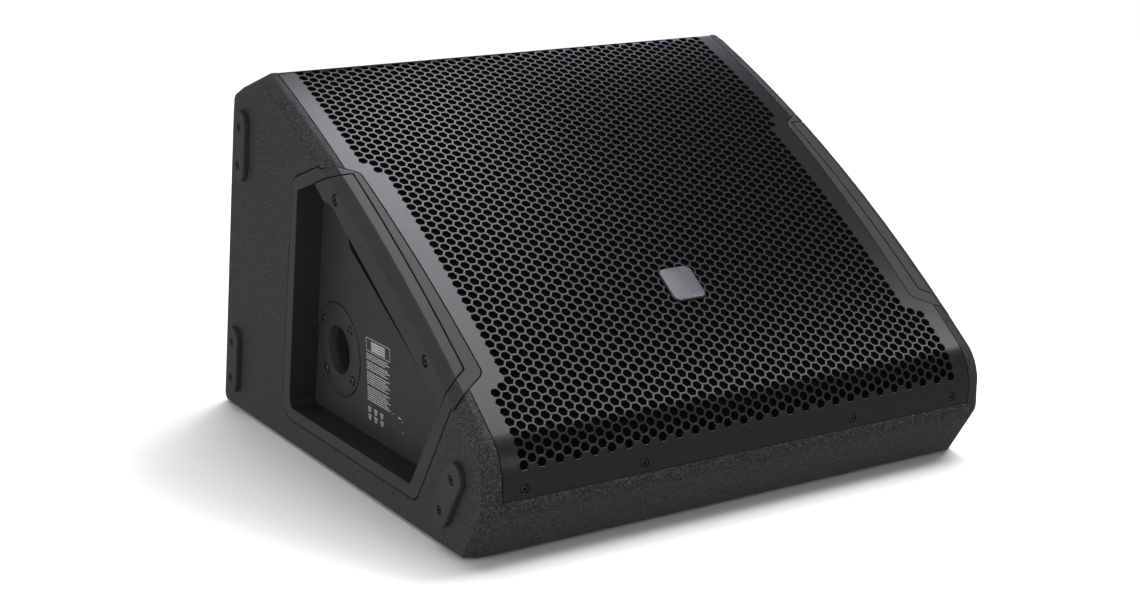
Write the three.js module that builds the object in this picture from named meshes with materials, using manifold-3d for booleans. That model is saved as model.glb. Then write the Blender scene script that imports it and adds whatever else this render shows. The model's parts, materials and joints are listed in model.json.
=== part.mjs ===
// Active stage monitor wedge with a coaxial driver, a hand recess and a grip bar in each side.
// Millimetres, +Z up, the listener at -Y. The origin is on the floor, under the middle of the cabinet.
import * as THREE from 'three';
import { mergeVertices } from 'three/addons/utils/BufferGeometryUtils.js';
import Module from 'manifold-3d';

const wasm = await Module();
wasm.setup();

// ---------------------------------------------------------------- driving dimensions
const WIDTH = 478;                 // over the side boards
const DEPTH = 496;                 // nose to the back's lower edge
const FLOOR_GAP = 3;               // height of the feet under the cabinet
const BOARD = 15;                  // plywood thickness
const GAP = 0.3;                   // clearance kept between touching pieces
const CHAMFER_ACROSS = 9.6;        // outer edge chamfer, along X
const CHAMFER_IN = 6;              // outer edge chamfer, across the side outline

const SLOPE_RADIUS = 1405;         // the bowed front is one large arc
const SLOPE_CENTRE = [664.5, -980.2];
const BEND_RADIUS = 43.5;          // front bow turning down into the nose
const BACK_LEAN = 10.9;            // degrees from upright
const BEVEL_FALL = 18.3;           // degrees, rear part of the top
const BEVEL_POINT = [126.4, 319.2];
const CORNER_RADIUS = 12;
const NOSE_HEIGHT = 43;            // where the nose turns into the undercut
const UNDERCUT_FRONT = -216.7;     // lower end of the undercut, below the underside

const FRONT = -DEPTH / 2;
const BACK = DEPTH / 2;
const HALF = WIDTH / 2;
const INNER = HALF - BOARD;

const GRILLE_THICK = 1.6;
const GRILLE_TOP_ARC = -326;       // arc length up the slope from the badge to the top bend
const GRILLE_LIP_LOW = 54;
const FOLD_RADIUS = 5;             // grille's top edge, turned down over the cabinet's crest
const RAIL_FRONT = 217;            // top rail's front face, up the slope from the middle of the bow
const FOAM_THICK = 6;

const BAFFLE_DEPTH = 32;           // baffle front below the middle of the bow
const WOOFER_UP = 20;              // driver centre, up the slope from the middle of the bow
const WOOFER_CUTOUT = 141;
const PORT_X = 122;
const PORT_RADIUS = 30;

const RECESS_DEPTH = 25;
const TRAY_WALL = 4;
const POCKET_REACH = 52;           // finger pocket, from the side face inwards
const POLE_CENTRE = [44, 95];
const POLE_BORE = 18.25;
const POLE_FLANGE = 40.2;
const FLANGE_SEAT = 1.2;           // the flange is let into the panel, almost flush
const POLE_LENGTH = 75;

const FOOT_LENGTH = 64.5;
const FOOT_RADIUS = 11.5;
const FOOT_SCREW_SPACING = 35.4;
const FOOT_PROUD = 5.2;

const PORT_UP = -140;
const SEAM = 0.8;                  // visible joint line between flush pieces
const GRILLE_SCREW_X = [-205, -100, 100, 205];
const GRILLE_SCREW_Z = 61.1;
const FOAM_HALF = 182;
const BADGE_SIZE = [30, 33];

// Right recess, as (Y, Z) pairs: the amplifier plate's corners and the middles of what it carries.
const AMP_PLATE = [[-52, 46], [76, 142]];
const INLET = [38, 72];
const PIN_AT = 52;
const ROCKER_AT = [22, 72];
const INPUT_AT = [50, 116];
const LINK_AT = [16, 116];
const KNOB_AT = [-26, 116];
const BUTTON_AT = [-26, 84];
const LED_AT = [-26, 66];
const BOARD_X = 178;
const BOARD_THICK = 1.6;

// Side feet as [Y, Z, lean in degrees]; base feet as [X, Y].
const SIDE_FEET = [[171.3, 250.9, BACK_LEAN], [211.3, 48.4, BACK_LEAN], [-198, 48.1, 33.3]];
const BASE_FEET = [[-185, -170], [185, -170], [-185, 205], [185, 205]];

// ---------------------------------------------------------------- materials
const finish = (color, roughness, metalness = 0) =>
  new THREE.MeshStandardMaterial({ color, roughness, metalness });

const looks = {
  paint: () => finish(0x2a2a2c, 0.85),
  wood: () => finish(0x8a6f4d, 0.8),
  steelBlack: () => finish(0x39393d, 0.5, 0.4),
  foam: () => finish(0x101010, 1),
  plastic: () => finish(0x2f2f30, 0.55),
  rubber: () => finish(0x221f1e, 0.9),
  screw: () => finish(0x18181a, 0.4, 0.7),
  steel: () => finish(0x9a9c9e, 0.35, 0.9),
  castBlack: () => finish(0x1c1c1e, 0.55, 0.5),
  ferrite: () => finish(0x2b2a2a, 0.7),
  paper: () => finish(0x1a1a1b, 0.9),
  cloth: () => finish(0x6a4a24, 0.9),
  copper: () => finish(0xb06a35, 0.4, 0.9),
  aluminium: () => finish(0xb5b7ba, 0.4, 0.9),
  board: () => finish(0x1f5a35, 0.6),
  cable: () => finish(0x8c1f1c, 0.6),
  lens: () => finish(0x3fbf5a, 0.2),
};

// ---------------------------------------------------------------- solids and placing
const CURVE_STEPS = 6;
const SMALL_STEPS = 3;

/** A closed geometry as a solid that can be joined and cut. */
function toSolid(geometry) {
  const bare = geometry.index ? geometry.toNonIndexed() : geometry.clone();
  bare.deleteAttribute('normal');
  bare.deleteAttribute('uv');
  const merged = mergeVertices(bare, 1e-4);
  return new wasm.Manifold(new wasm.Mesh({
    numProp: 3,
    vertProperties: new Float32Array(merged.attributes.position.array),
    triVerts: new Uint32Array(merged.index.array),
  }));
}

/** A solid back as a geometry. */
function toGeometry(solid) {
  const mesh = solid.getMesh();
  const geometry = new THREE.BufferGeometry();
  geometry.setAttribute('position', new THREE.BufferAttribute(new Float32Array(mesh.vertProperties), 3));
  geometry.setIndex(new THREE.BufferAttribute(new Uint32Array(mesh.triVerts), 1));
  geometry.computeVertexNormals();
  return geometry;
}

const cutAway = (solid, ...tools) => tools.reduce((rest, tool) => rest.subtract(tool), solid);
const joined = (solid, ...others) => others.reduce((whole, other) => whole.add(other), solid);

/** The matrix that carries a drawing plane and its extrusion direction to three given directions. */
function frameMatrix(across, up, along, at = [0, 0, 0]) {
  const matrix = new THREE.Matrix4();
  matrix.makeBasis(new THREE.Vector3(...across), new THREE.Vector3(...up), new THREE.Vector3(...along));
  matrix.setPosition(...at);
  return matrix;
}

const extruded = (shape, depth, matrix, options = {}) =>
  new THREE.ExtrudeGeometry(shape, { depth, bevelEnabled: false, curveSegments: CURVE_STEPS, ...options })
    .applyMatrix4(matrix);

/** A (Y, Z) outline extruded along X from x0 to x1. */
const alongX = (shape, x0, x1, options) =>
  toSolid(extruded(shape, x1 - x0, frameMatrix([0, 1, 0], [0, 0, 1], [1, 0, 0], [x0, 0, 0]), options));

/** An (X, Y) outline extruded upwards from z0 to z1. */
const alongZ = (shape, z0, z1, options) =>
  toSolid(extruded(shape, z1 - z0, new THREE.Matrix4().makeTranslation(0, 0, z0), options));

const block = (low, high) => {
  const size = high.map((value, i) => value - low[i]);
  const box = new THREE.BoxGeometry(...size);
  return toSolid(box.translate(...low.map((value, i) => value + size[i] / 2)));
};

/** A turned profile of [radius, height] points about local Y, its faces outwards either way round. */
function turned(profile, steps = 32) {
  const points = profile.map(([r, y]) => new THREE.Vector2(r, y));
  if (THREE.ShapeUtils.area(points) < 0) points.reverse();
  return new THREE.LatheGeometry(points, steps);
}

/** A ring profile closed on itself. */
const ring = (profile, steps) => turned([...profile, profile[0]], steps);

/** Moves a turned geometry so that its axis runs from a point along +X or -X. */
function axisAlongX(geometry, [x, y, z], direction) {
  return geometry.rotateZ(direction > 0 ? -Math.PI / 2 : Math.PI / 2).translate(x, y, z);
}

function polygon(points) {
  const shape = new THREE.Shape();
  shape.moveTo(...points[0]);
  points.slice(1).forEach((point) => shape.lineTo(...point));
  shape.closePath();
  return shape;
}

/** A polygon whose corners are [a, b, radius]; a corner without a radius stays sharp. */
function roundedPolygon(corners) {
  const shape = new THREE.Shape();
  corners.forEach(([a, b, radius = 0], i) => {
    const here = new THREE.Vector2(a, b);
    const before = new THREE.Vector2(...corners.at(i - 1)).sub(here).normalize();
    const after = new THREE.Vector2(...corners[(i + 1) % corners.length]).sub(here).normalize();
    const half = Math.acos(THREE.MathUtils.clamp(before.dot(after), -1, 1)) / 2;
    const reach = radius / Math.tan(half);
    const enter = here.clone().addScaledVector(before, reach);
    const leave = here.clone().addScaledVector(after, reach);
    if (i === 0) shape.moveTo(enter.x, enter.y);
    else shape.lineTo(enter.x, enter.y);
    if (radius > 0) {
      const inward = before.clone().add(after).normalize();
      const centre = here.clone().addScaledVector(inward, radius / Math.sin(half));
      const start = Math.atan2(enter.y - centre.y, enter.x - centre.x);
      const end = Math.atan2(leave.y - centre.y, leave.x - centre.x);
      const turn = Math.atan2(Math.sin(end - start), Math.cos(end - start));
      shape.absarc(centre.x, centre.y, radius, start, end, turn < 0);
    }
  });
  shape.closePath();
  return shape;
}

/** Corners of a counter-clockwise polygon moved inwards by a distance. */
function insetCorners(corners, distance) {
  return corners.map(([a, b, radius = 0], i) => {
    const here = new THREE.Vector2(a, b);
    const before = here.clone().sub(new THREE.Vector2(...corners.at(i - 1))).normalize();
    const after = new THREE.Vector2(...corners[(i + 1) % corners.length]).sub(here).normalize();
    const inBefore = new THREE.Vector2(-before.y, before.x);
    const inAfter = new THREE.Vector2(-after.y, after.x);
    const scale = distance / (1 + inBefore.dot(inAfter));
    const moved = here.addScaledVector(inBefore.add(inAfter), scale);
    return [moved.x, moved.y, radius > 0 ? Math.max(radius - distance, 1) : 0];
  });
}

const degrees = THREE.MathUtils.degToRad;

// ---------------------------------------------------------------- the slope's own directions
// u runs up the slope, n stands out of it, both measured from the middle of the bow.
const NOSE_ANGLE = degrees(35.6);  // where the arc length is counted from
const MID_ARC = -110;
const BADGE_ARC = -4.6;
const onArc = (angle, radius = SLOPE_RADIUS) => [
  SLOPE_CENTRE[0] - radius * Math.sin(angle),
  SLOPE_CENTRE[1] + radius * Math.cos(angle),
];
const angleAt = (arc) => NOSE_ANGLE + arc / SLOPE_RADIUS;
const BADGE_ANGLE = angleAt(BADGE_ARC);
const MID_ANGLE = angleAt(MID_ARC);
const MIDDLE = onArc(MID_ANGLE);
const UP_SLOPE = [0, Math.cos(MID_ANGLE), Math.sin(MID_ANGLE)];
const OUTWARD = [0, -Math.sin(MID_ANGLE), Math.cos(MID_ANGLE)];

/** (Y, Z) of a point given up the slope and out of it. */
const fromSlope = (u, n) => [
  MIDDLE[0] + u * UP_SLOPE[1] + n * OUTWARD[1],
  MIDDLE[1] + u * UP_SLOPE[2] + n * OUTWARD[2],
];

/** An (X, u) outline with corners [x, u, radius], extruded out of the slope from n0 to n1. */
const slopePrism = (corners, n0, n1) => toSolid(extruded(
  roundedPolygon(corners), n1 - n0, frameMatrix([1, 0, 0], UP_SLOPE, OUTWARD, [0, ...fromSlope(0, n0)])));

// ---------------------------------------------------------------- the cabinet's outline
const topEdge = [-Math.cos(degrees(BEVEL_FALL)), Math.sin(degrees(BEVEL_FALL))];
const backEdge = [-Math.sin(degrees(BACK_LEAN)), Math.cos(degrees(BACK_LEAN))];

/** Where two lines, each a point and a direction, cross. */
function crossing([p, u], [q, v]) {
  const det = v[0] * u[1] - u[0] * v[1];
  const k = (v[0] * (q[1] - p[1]) - v[1] * (q[0] - p[0])) / det;
  return [p[0] + k * u[0], p[1] + k * u[1]];
}

/** A point moved off a line's left side by a distance. */
const leftOf = ([a, b], [u, v], distance) => [a - v * distance, b + u * distance];

// The outline runs below the underside by the chamfer's height and is cut off level afterwards.
const OUTLINE_LOW = FLOOR_GAP - CHAMFER_IN;
// The back's lower corner is a round that just reaches the full depth.
const backRound = [BACK - CORNER_RADIUS, OUTLINE_LOW + CORNER_RADIUS];
const backPoint = leftOf(backRound, backEdge, -CORNER_RADIUS);
const topRound = CORNER_RADIUS + 2;
const topRoundCentre = crossing(
  [leftOf(backPoint, backEdge, topRound), backEdge], [leftOf(BEVEL_POINT, topEdge, topRound), topEdge]);

// The bend touches the bow from inside and comes upright at the nose.
const bendStart = Math.asin((SLOPE_CENTRE[0] - FRONT - BEND_RADIUS) / (SLOPE_RADIUS - BEND_RADIUS));
const bendCentre = onArc(bendStart, SLOPE_RADIUS - BEND_RADIUS);

/** The angle on the bow where the rear bevel's line cuts it. */
function peakAngle() {
  const [dy, dz] = [BEVEL_POINT[0] - SLOPE_CENTRE[0], BEVEL_POINT[1] - SLOPE_CENTRE[1]];
  const along = dy * topEdge[0] + dz * topEdge[1];
  const reach = Math.sqrt(along * along - (dy * dy + dz * dz - SLOPE_RADIUS ** 2));
  const k = -along + (along > 0 ? reach : -reach);
  return Math.atan2(-(dy + k * topEdge[0]), dz + k * topEdge[1]);
}

/** The outline in (Y, Z), counter-clockwise: underside, back, bevel, bow, nose, undercut. */
function cabinetOutline() {
  const bow = Math.PI / 2;
  const shape = new THREE.Shape();
  shape.moveTo(UNDERCUT_FRONT, OUTLINE_LOW);
  shape.lineTo(backRound[0], OUTLINE_LOW);
  shape.absarc(...backRound, CORNER_RADIUS, -Math.PI / 2, degrees(BACK_LEAN), false);
  shape.absarc(...topRoundCentre, topRound, degrees(BACK_LEAN), degrees(90 - BEVEL_FALL), false);
  shape.absarc(...SLOPE_CENTRE, SLOPE_RADIUS, bow + peakAngle(), bow + bendStart, false);
  shape.absarc(...bendCentre, BEND_RADIUS, bow + bendStart, Math.PI, false);
  shape.lineTo(FRONT, NOSE_HEIGHT + 6);
  shape.quadraticCurveTo(FRONT, NOSE_HEIGHT, FRONT + 3.4, NOSE_HEIGHT - 5);
  shape.closePath();
  return shape;
}

/** The whole cabinet as one solid with chamfered sides; every outer board is cut from it. */
function cabinetEnvelope() {
  const inset = HALF - CHAMFER_ACROSS;
  const whole = alongX(cabinetOutline(), -inset, inset, {
    bevelEnabled: true,
    bevelThickness: CHAMFER_ACROSS,
    bevelSize: CHAMFER_IN,
    bevelOffset: -CHAMFER_IN,
    bevelSegments: 1,
  });
  return whole.intersect(block([-HALF, FRONT, FLOOR_GAP], [HALF, BACK, 400]));
}

const envelope = cabinetEnvelope();

/** A band under the bow between two depths, over a stretch of X. */
function bowBand(shallow, deep, x0 = -HALF - 20, x1 = HALF + 20) {
  const from = Math.PI / 2 + degrees(12);
  const to = Math.PI / 2 + degrees(50);
  const shape = new THREE.Shape();
  shape.absarc(...SLOPE_CENTRE, SLOPE_RADIUS - shallow, from, to, false);
  shape.absarc(...SLOPE_CENTRE, SLOPE_RADIUS - deep, to, from, true);
  shape.closePath();
  return alongX(shape, x0, x1, { curveSegments: 2 * CURVE_STEPS });
}

// ---------------------------------------------------------------- the side recess, drawn on the left
const TRAY_OUTER = [[-139.9, 24, 15], [112, 24, 18], [69, 239.5, 14], [-60, 285.9], [-268.4, 218.5]];
const TRAY_MOUTH = [
  [-130.5, 34.8, 6], [96.2, 34.8, 7], [60.9, 231, 2], [-60, 272.5], [-242, 204.1], [-183.4, 111.6],
];
const TRAY_EDGE = [[-262, 96.5], [-262, -193], [-207, -156.4, 9], [-213.6, 64, 9]];
const BAR_SIDE = [
  [26.7, 242.7], [-60, 272.5], [-242, 204.1], [-183.4, 111.6], [-4.5, 229.9, 4], [10.4, 231.3, 4],
];
const BAR_EDGE = [[-262, 100], [-262, -179], [-220, -149.7, 2], [-220, 100]];
const BAR_SCREWS = [[-11.5, 236.1], [-160.2, 141]];
const POCKET_MIDDLE = [-26, -41];  // up the slope, out of it
const POCKET_SIZE = [171, 58];
const STRIP_DEPTH = 12;            // the tray's strip between the bar and the grille
const PANEL_X = -HALF + RECESS_DEPTH;

const prism = (corners, grow, x0, x1) => alongX(roundedPolygon(insetCorners(corners, -grow)), x0, x1);

/** The slanted finger pocket behind the bar, grown by a margin. */
function fingerPocket(grow, x0, x1) {
  const [u, n] = POCKET_MIDDLE;
  const [halfU, halfN] = POCKET_SIZE.map((size) => size / 2 + grow);
  const corners = [
    [u - halfU, n - halfN], [u + halfU, n - halfN], [u + halfU, n + halfN], [u - halfU, n + halfN],
  ];
  return alongX(roundedPolygon(corners.map(([a, b]) => [...fromSlope(a, b), 14 + grow])), x0, x1);
}

/** The grip bar across the tray's open edge; grown, it is the seat that the tray leaves for it. */
function gripBar(grow = 0) {
  const side = prism(BAR_SIDE, grow, -HALF - 9, -HALF + 40);
  return side.intersect(slopePrism(insetCorners(BAR_EDGE, -grow), -60, 30));
}

/** All that the recess takes out of the boards around it. */
function recessClearance(gap) {
  const bowl = prism(TRAY_OUTER, gap, -HALF - 5, PANEL_X + TRAY_WALL + gap).subtract(bowBand(-60, 8 - gap));
  const edge = slopePrism(insetCorners(TRAY_EDGE, -gap), -40, 30).intersect(bowBand(-20, 9));
  return joined(bowl, edge, fingerPocket(TRAY_WALL + gap, -HALF, -HALF + POCKET_REACH + TRAY_WALL + gap));
}

/** The moulded tray: bezel, bowl and finger pocket, with a hole through its panel. */
function sideTray(panelHole) {
  const bowl = prism(TRAY_OUTER, 0, -HALF - 5, PANEL_X + TRAY_WALL).subtract(bowBand(-60, 8));
  const edge = slopePrism(TRAY_EDGE, -40, 30).intersect(bowBand(-20, 8.5));
  const housing = fingerPocket(TRAY_WALL, PANEL_X - 1, -HALF + POCKET_REACH + TRAY_WALL);
  const mouth = prism(TRAY_MOUTH, 0, -HALF - 10, PANEL_X).subtract(bowBand(-90, STRIP_DEPTH));
  const backGroove = cutAway(
    prism(TRAY_OUTER, -3.5, -HALF + TRAY_WALL, -HALF + 60),
    prism(TRAY_MOUTH, 3.5, -HALF, -HALF + 70),
    bowBand(-90, 30),
    fingerPocket(TRAY_WALL, -HALF - 1, -HALF + 70),
  );
  return cutAway(
    joined(bowl, edge, housing).intersect(envelope),
    mouth,
    backGroove,
    fingerPocket(0, PANEL_X - 1, -HALF + POCKET_REACH),
    gripBar(SEAM),
    ...BAR_SCREWS.map((at) => rodAlongX(2.2, -HALF - 5, -HALF + 27, at)),
    panelHole,
  );
}

/** A round rod along X from x0 to x1 at (Y, Z). */
function rodAlongX(radius, x0, x1, [y, z], steps = 20) {
  const rod = new THREE.CylinderGeometry(radius, radius, x1 - x0, steps);
  return toSolid(rod.rotateZ(Math.PI / 2).translate((x0 + x1) / 2, y, z));
}

/** A geometry reflected in the plane X = 0, its faces turned back outwards. */
function mirrored(geometry) {
  const copy = geometry.clone().applyMatrix4(new THREE.Matrix4().makeScale(-1, 1, 1));
  const index = copy.index.array;
  for (let i = 0; i < index.length; i += 3) [index[i], index[i + 1]] = [index[i + 1], index[i]];
  copy.computeVertexNormals();
  return copy;
}

// ---------------------------------------------------------------- the assembly
const monitor = new THREE.Group();

function addPart(name, geometry, material, parent = monitor) {
  const mesh = new THREE.Mesh(geometry, material);
  mesh.name = name;
  parent.add(mesh);
  return mesh;
}
const addSolid = (name, solid, material, parent) => addPart(name, toGeometry(solid), material, parent);

/** The left and right copies of a piece drawn on the left. */
function addPair(leftName, rightName, solid, material) {
  const geometry = toGeometry(solid);
  addPart(leftName, geometry, material());
  addPart(rightName, mirrored(geometry), material());
}

/** A slab of the envelope between two X, kept to a (Y, Z) region. */
const boardBetween = (x0, x1, region) => alongX(region, x0, x1).intersect(envelope);

function buildCabinet() {
  const side = cutAway(
    block([-HALF, FRONT - 5, 0], [-INNER, BACK + 5, 400]).intersect(envelope),
    recessClearance(SEAM),
  );
  addPair('left_side_panel', 'right_side_panel', side, looks.paint);

  const reach = INNER - GAP;
  const backInner = leftOf(backPoint, backEdge, BOARD);
  const bevelInner = leftOf(BEVEL_POINT, topEdge, BOARD);
  const floorTop = [[0, FLOOR_GAP + BOARD + GAP], [1, 0]];
  const lowBack = crossing([backInner, backEdge], floorTop);
  const highBack = crossing([backInner, backEdge], [leftOf(BEVEL_POINT, topEdge, BOARD + GAP), topEdge]);
  addSolid('back_panel', boardBetween(-reach, reach, polygon([
    lowBack, [BACK + 20, lowBack[1]], [BACK + 20, highBack[1] - 0.5],
    [highBack[0] + 40, highBack[1] - 13.3], highBack,
  ])), looks.paint());
  addSolid('bottom_panel', boardBetween(-reach, reach, polygon([
    [FRONT, FLOOR_GAP - 5], [BACK + 5, FLOOR_GAP - 5],
    [BACK + 5, FLOOR_GAP + BOARD], [FRONT, FLOOR_GAP + BOARD],
  ])), looks.paint());

  const cleat = fromSlope(190.4, -50);
  addSolid('top_rail', boardBetween(-reach, reach, polygon([
    fromSlope(RAIL_FRONT, 20), fromSlope(RAIL_FRONT, -28), fromSlope(190.4, -28), cleat, [cleat[0] + 20, cleat[1]],
    crossing([bevelInner, topEdge], [[cleat[0] + 26, 0], [0, 1]]),
    [bevelInner[0] - topEdge[0] * 150, bevelInner[1] - topEdge[1] * 150], [BACK, 330],
  ].reverse())), looks.paint());

  const lipSeat = alongX(polygon([
    [FRONT - 5, GRILLE_LIP_LOW - SEAM], [FRONT + GRILLE_THICK + GAP, GRILLE_LIP_LOW - SEAM],
    [FRONT + GRILLE_THICK + GAP, 140], [FRONT - 5, 140],
  ]), -HALF, HALF);
  const noseTop = fromSlope(-187.6, -48);
  const nose = boardBetween(-reach, reach, polygon([
    [FRONT - 10, floorTop[0][1]], [FRONT + 44.5, floorTop[0][1]], [FRONT + 19, 55], [FRONT + 19, 66],
    [noseTop[0] - 6, noseTop[1] - 8], noseTop, fromSlope(-187.6, 20), [FRONT - 10, 140],
  ]));
  addSolid('nose_rail', cutAway(
    nose,
    lipSeat,
    bowBand(-30, GRILLE_THICK + 1),
    bendClearance(),
    ...GRILLE_SCREW_X.map((x) => rodAlongY(2.3, FRONT - 5, FRONT + 30, [x, GRILLE_SCREW_Z])),
  ), looks.paint());
}

/** The space of the grille's bend, kept out of the nose. */
function bendClearance() {
  const shape = new THREE.Shape();
  const start = Math.PI / 2 + bendStart - 0.02;
  shape.absarc(...bendCentre, BEND_RADIUS + 20, start, Math.PI + 0.05, false);
  shape.absarc(...bendCentre, BEND_RADIUS - GRILLE_THICK - GAP, Math.PI + 0.05, start, true);
  shape.closePath();
  return alongX(shape, -INNER, INNER);
}

/** A round rod along Y from y0 to y1 at (X, Z). */
const rodAlongY = (radius, y0, y1, [x, z], steps = 16) =>
  toSolid(new THREE.CylinderGeometry(radius, radius, y1 - y0, steps).translate(x, (y0 + y1) / 2, z));

function buildBaffle() {
  const corners = [[-INNER + GAP, -187], [INNER - GAP, -187], [INNER - GAP, 190], [-INNER + GAP, 190]];
  const hole = (x, u, radius) => slopePrism(circleCorners(x, u, radius), -BAFFLE_DEPTH - 40, 0);
  const clearance = recessClearance(1);
  addSolid('baffle', cutAway(
    slopePrism(corners, -BAFFLE_DEPTH - BOARD, -BAFFLE_DEPTH),
    hole(0, WOOFER_UP, WOOFER_CUTOUT + 1),
    hole(-PORT_X, PORT_UP, PORT_RADIUS + 0.5),
    hole(PORT_X, PORT_UP, PORT_RADIUS + 0.5),
    clearance,
    toSolid(mirrored(toGeometry(clearance))),
  ), looks.wood());
}

/** A regular polygon standing in for a circle, as corners in the slope's own plane. */
function circleCorners(x, u, radius, steps = 40) {
  return Array.from({ length: steps }, (_, i) => {
    const angle = (2 * Math.PI * i) / steps;
    return [x + radius * Math.cos(angle), u + radius * Math.sin(angle)];
  });
}

// ---------------------------------------------------------------- grille, foam and badge
function grilleOutline() {
  const bow = Math.PI / 2;
  const top = angleAt(GRILLE_TOP_ARC + FOLD_RADIUS);
  const foldCentre = onArc(top, SLOPE_RADIUS - FOLD_RADIUS);
  const inner = GRILLE_THICK;
  /** A point on the turned-down edge: its depth under the bow, and how far inside its outer face. */
  const onFold = (depth, inside) => [
    foldCentre[0] + (FOLD_RADIUS - inside) * Math.cos(top) + (depth - FOLD_RADIUS) * Math.sin(top),
    foldCentre[1] + (FOLD_RADIUS - inside) * Math.sin(top) - (depth - FOLD_RADIUS) * Math.cos(top),
  ];
  const shape = new THREE.Shape();
  shape.moveTo(...onFold(11, inner));
  shape.lineTo(...onFold(11, 0));
  shape.absarc(...foldCentre, FOLD_RADIUS, top, top + bow, false);
  shape.absarc(...SLOPE_CENTRE, SLOPE_RADIUS, bow + top, bow + bendStart, false);
  shape.absarc(...bendCentre, BEND_RADIUS, bow + bendStart, Math.PI, false);
  shape.lineTo(FRONT, GRILLE_LIP_LOW);
  shape.lineTo(FRONT + inner, GRILLE_LIP_LOW);
  shape.lineTo(FRONT + inner, bendCentre[1]);
  shape.absarc(...bendCentre, BEND_RADIUS - inner, Math.PI, bow + bendStart, true);
  shape.absarc(...SLOPE_CENTRE, SLOPE_RADIUS - inner, bow + bendStart, bow + top, true);
  shape.absarc(...foldCentre, FOLD_RADIUS - inner, top + bow, top, true);
  shape.closePath();
  return shape;
}

const trayNotch = (gap) => {
  const notch = slopePrism(insetCorners(TRAY_EDGE, -gap), -60, 30);
  return [notch, toSolid(mirrored(toGeometry(notch)))];
};

/** A rounded block at the badge's place, between two distances out of the bow. */
function badgeBlock(across, up, n0, n1) {
  const [halfX, halfU] = [across / 2, up / 2];
  const outline = roundedPolygon([
    [-halfX, -halfU, 5], [halfX, -halfU, 5], [halfX, halfU, 5], [-halfX, halfU, 5],
  ]);
  const place = frameMatrix(
    [1, 0, 0],
    [0, Math.cos(BADGE_ANGLE), Math.sin(BADGE_ANGLE)],
    [0, -Math.sin(BADGE_ANGLE), Math.cos(BADGE_ANGLE)],
    [0, ...onArc(BADGE_ANGLE, SLOPE_RADIUS + n0)],
  );
  return toSolid(extruded(outline, n1 - n0, place, { curveSegments: SMALL_STEPS }));
}

function buildGrille() {
  const sheet = alongX(grilleOutline(), -INNER + SEAM, INNER - SEAM);
  addSolid('grille', cutAway(
    sheet,
    ...trayNotch(SEAM),
    badgeBlock(BADGE_SIZE[0] + 7, BADGE_SIZE[1] + 7.6, -6, 6),
    ...GRILLE_SCREW_X.map((x) => rodAlongY(4.4, FRONT - 5, FRONT + 5, [x, GRILLE_SCREW_Z])),
  ), looks.steelBlack());

  const foam = bowBand(GRILLE_THICK + 1, GRILLE_THICK + 1 + FOAM_THICK, -FOAM_HALF, FOAM_HALF);
  addSolid('grille_foam', foam.intersect(slopePrism([
    [-FOAM_HALF, -175], [FOAM_HALF, -175], [FOAM_HALF, 200], [-FOAM_HALF, 200],
  ], -60, 20)), looks.foam());

  const [plateAcross, plateUp] = BADGE_SIZE;
  const badgeBase = badgeBlock(plateAcross + 5, plateUp + 5, -2.2, -0.6);
  const badgePlate = badgeBlock(plateAcross, plateUp, -0.8, 1.6);
  addSolid('badge', badgeBase.add(badgePlate), looks.plastic());

  const profile = [
    [0, 0], [1.9, 0], [1.9, 18.1], [3.9, 18.4], [3.9, 19.5], [2, 19.5], [1.6, 18.5], [0, 18.5],
  ];
  GRILLE_SCREW_X.forEach((x, i) => {
    const screw = addPart(`grille_screw_${i + 1}`, turned(profile, 14), looks.screw());
    screw.rotation.x = Math.PI;
    screw.position.set(x, FRONT + 19.7, GRILLE_SCREW_Z);
  });
}

// ---------------------------------------------------------------- coaxial driver and ports
/** A group whose local Y stands out of the slope, at a place on the baffle's front. */
function onBaffle(x, u) {
  const group = new THREE.Group();
  group.position.set(x, ...fromSlope(u, -BAFFLE_DEPTH));
  group.rotation.x = Math.PI / 2 + MID_ANGLE;
  monitor.add(group);
  return group;
}

function buildBasket(driver) {
  const shell = toSolid(ring([
    [155, 0.3], [155, 5], [137, 5], [134, 1], [134, -14], [64, -74], [44, -74], [44, -78], [66, -78],
    [139.5, -16], [139.5, 0.3],
  ], 48));
  const windows = [0, 1, 2, 3, 4, 5].map((i) => {
    const window = new THREE.BoxGeometry(58, 40, 62).translate(0, -46, 106);
    return toSolid(window.rotateY((i * Math.PI) / 3));
  });
  addSolid('woofer_basket', cutAway(shell, ...windows), looks.castBlack(), driver);
}

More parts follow.
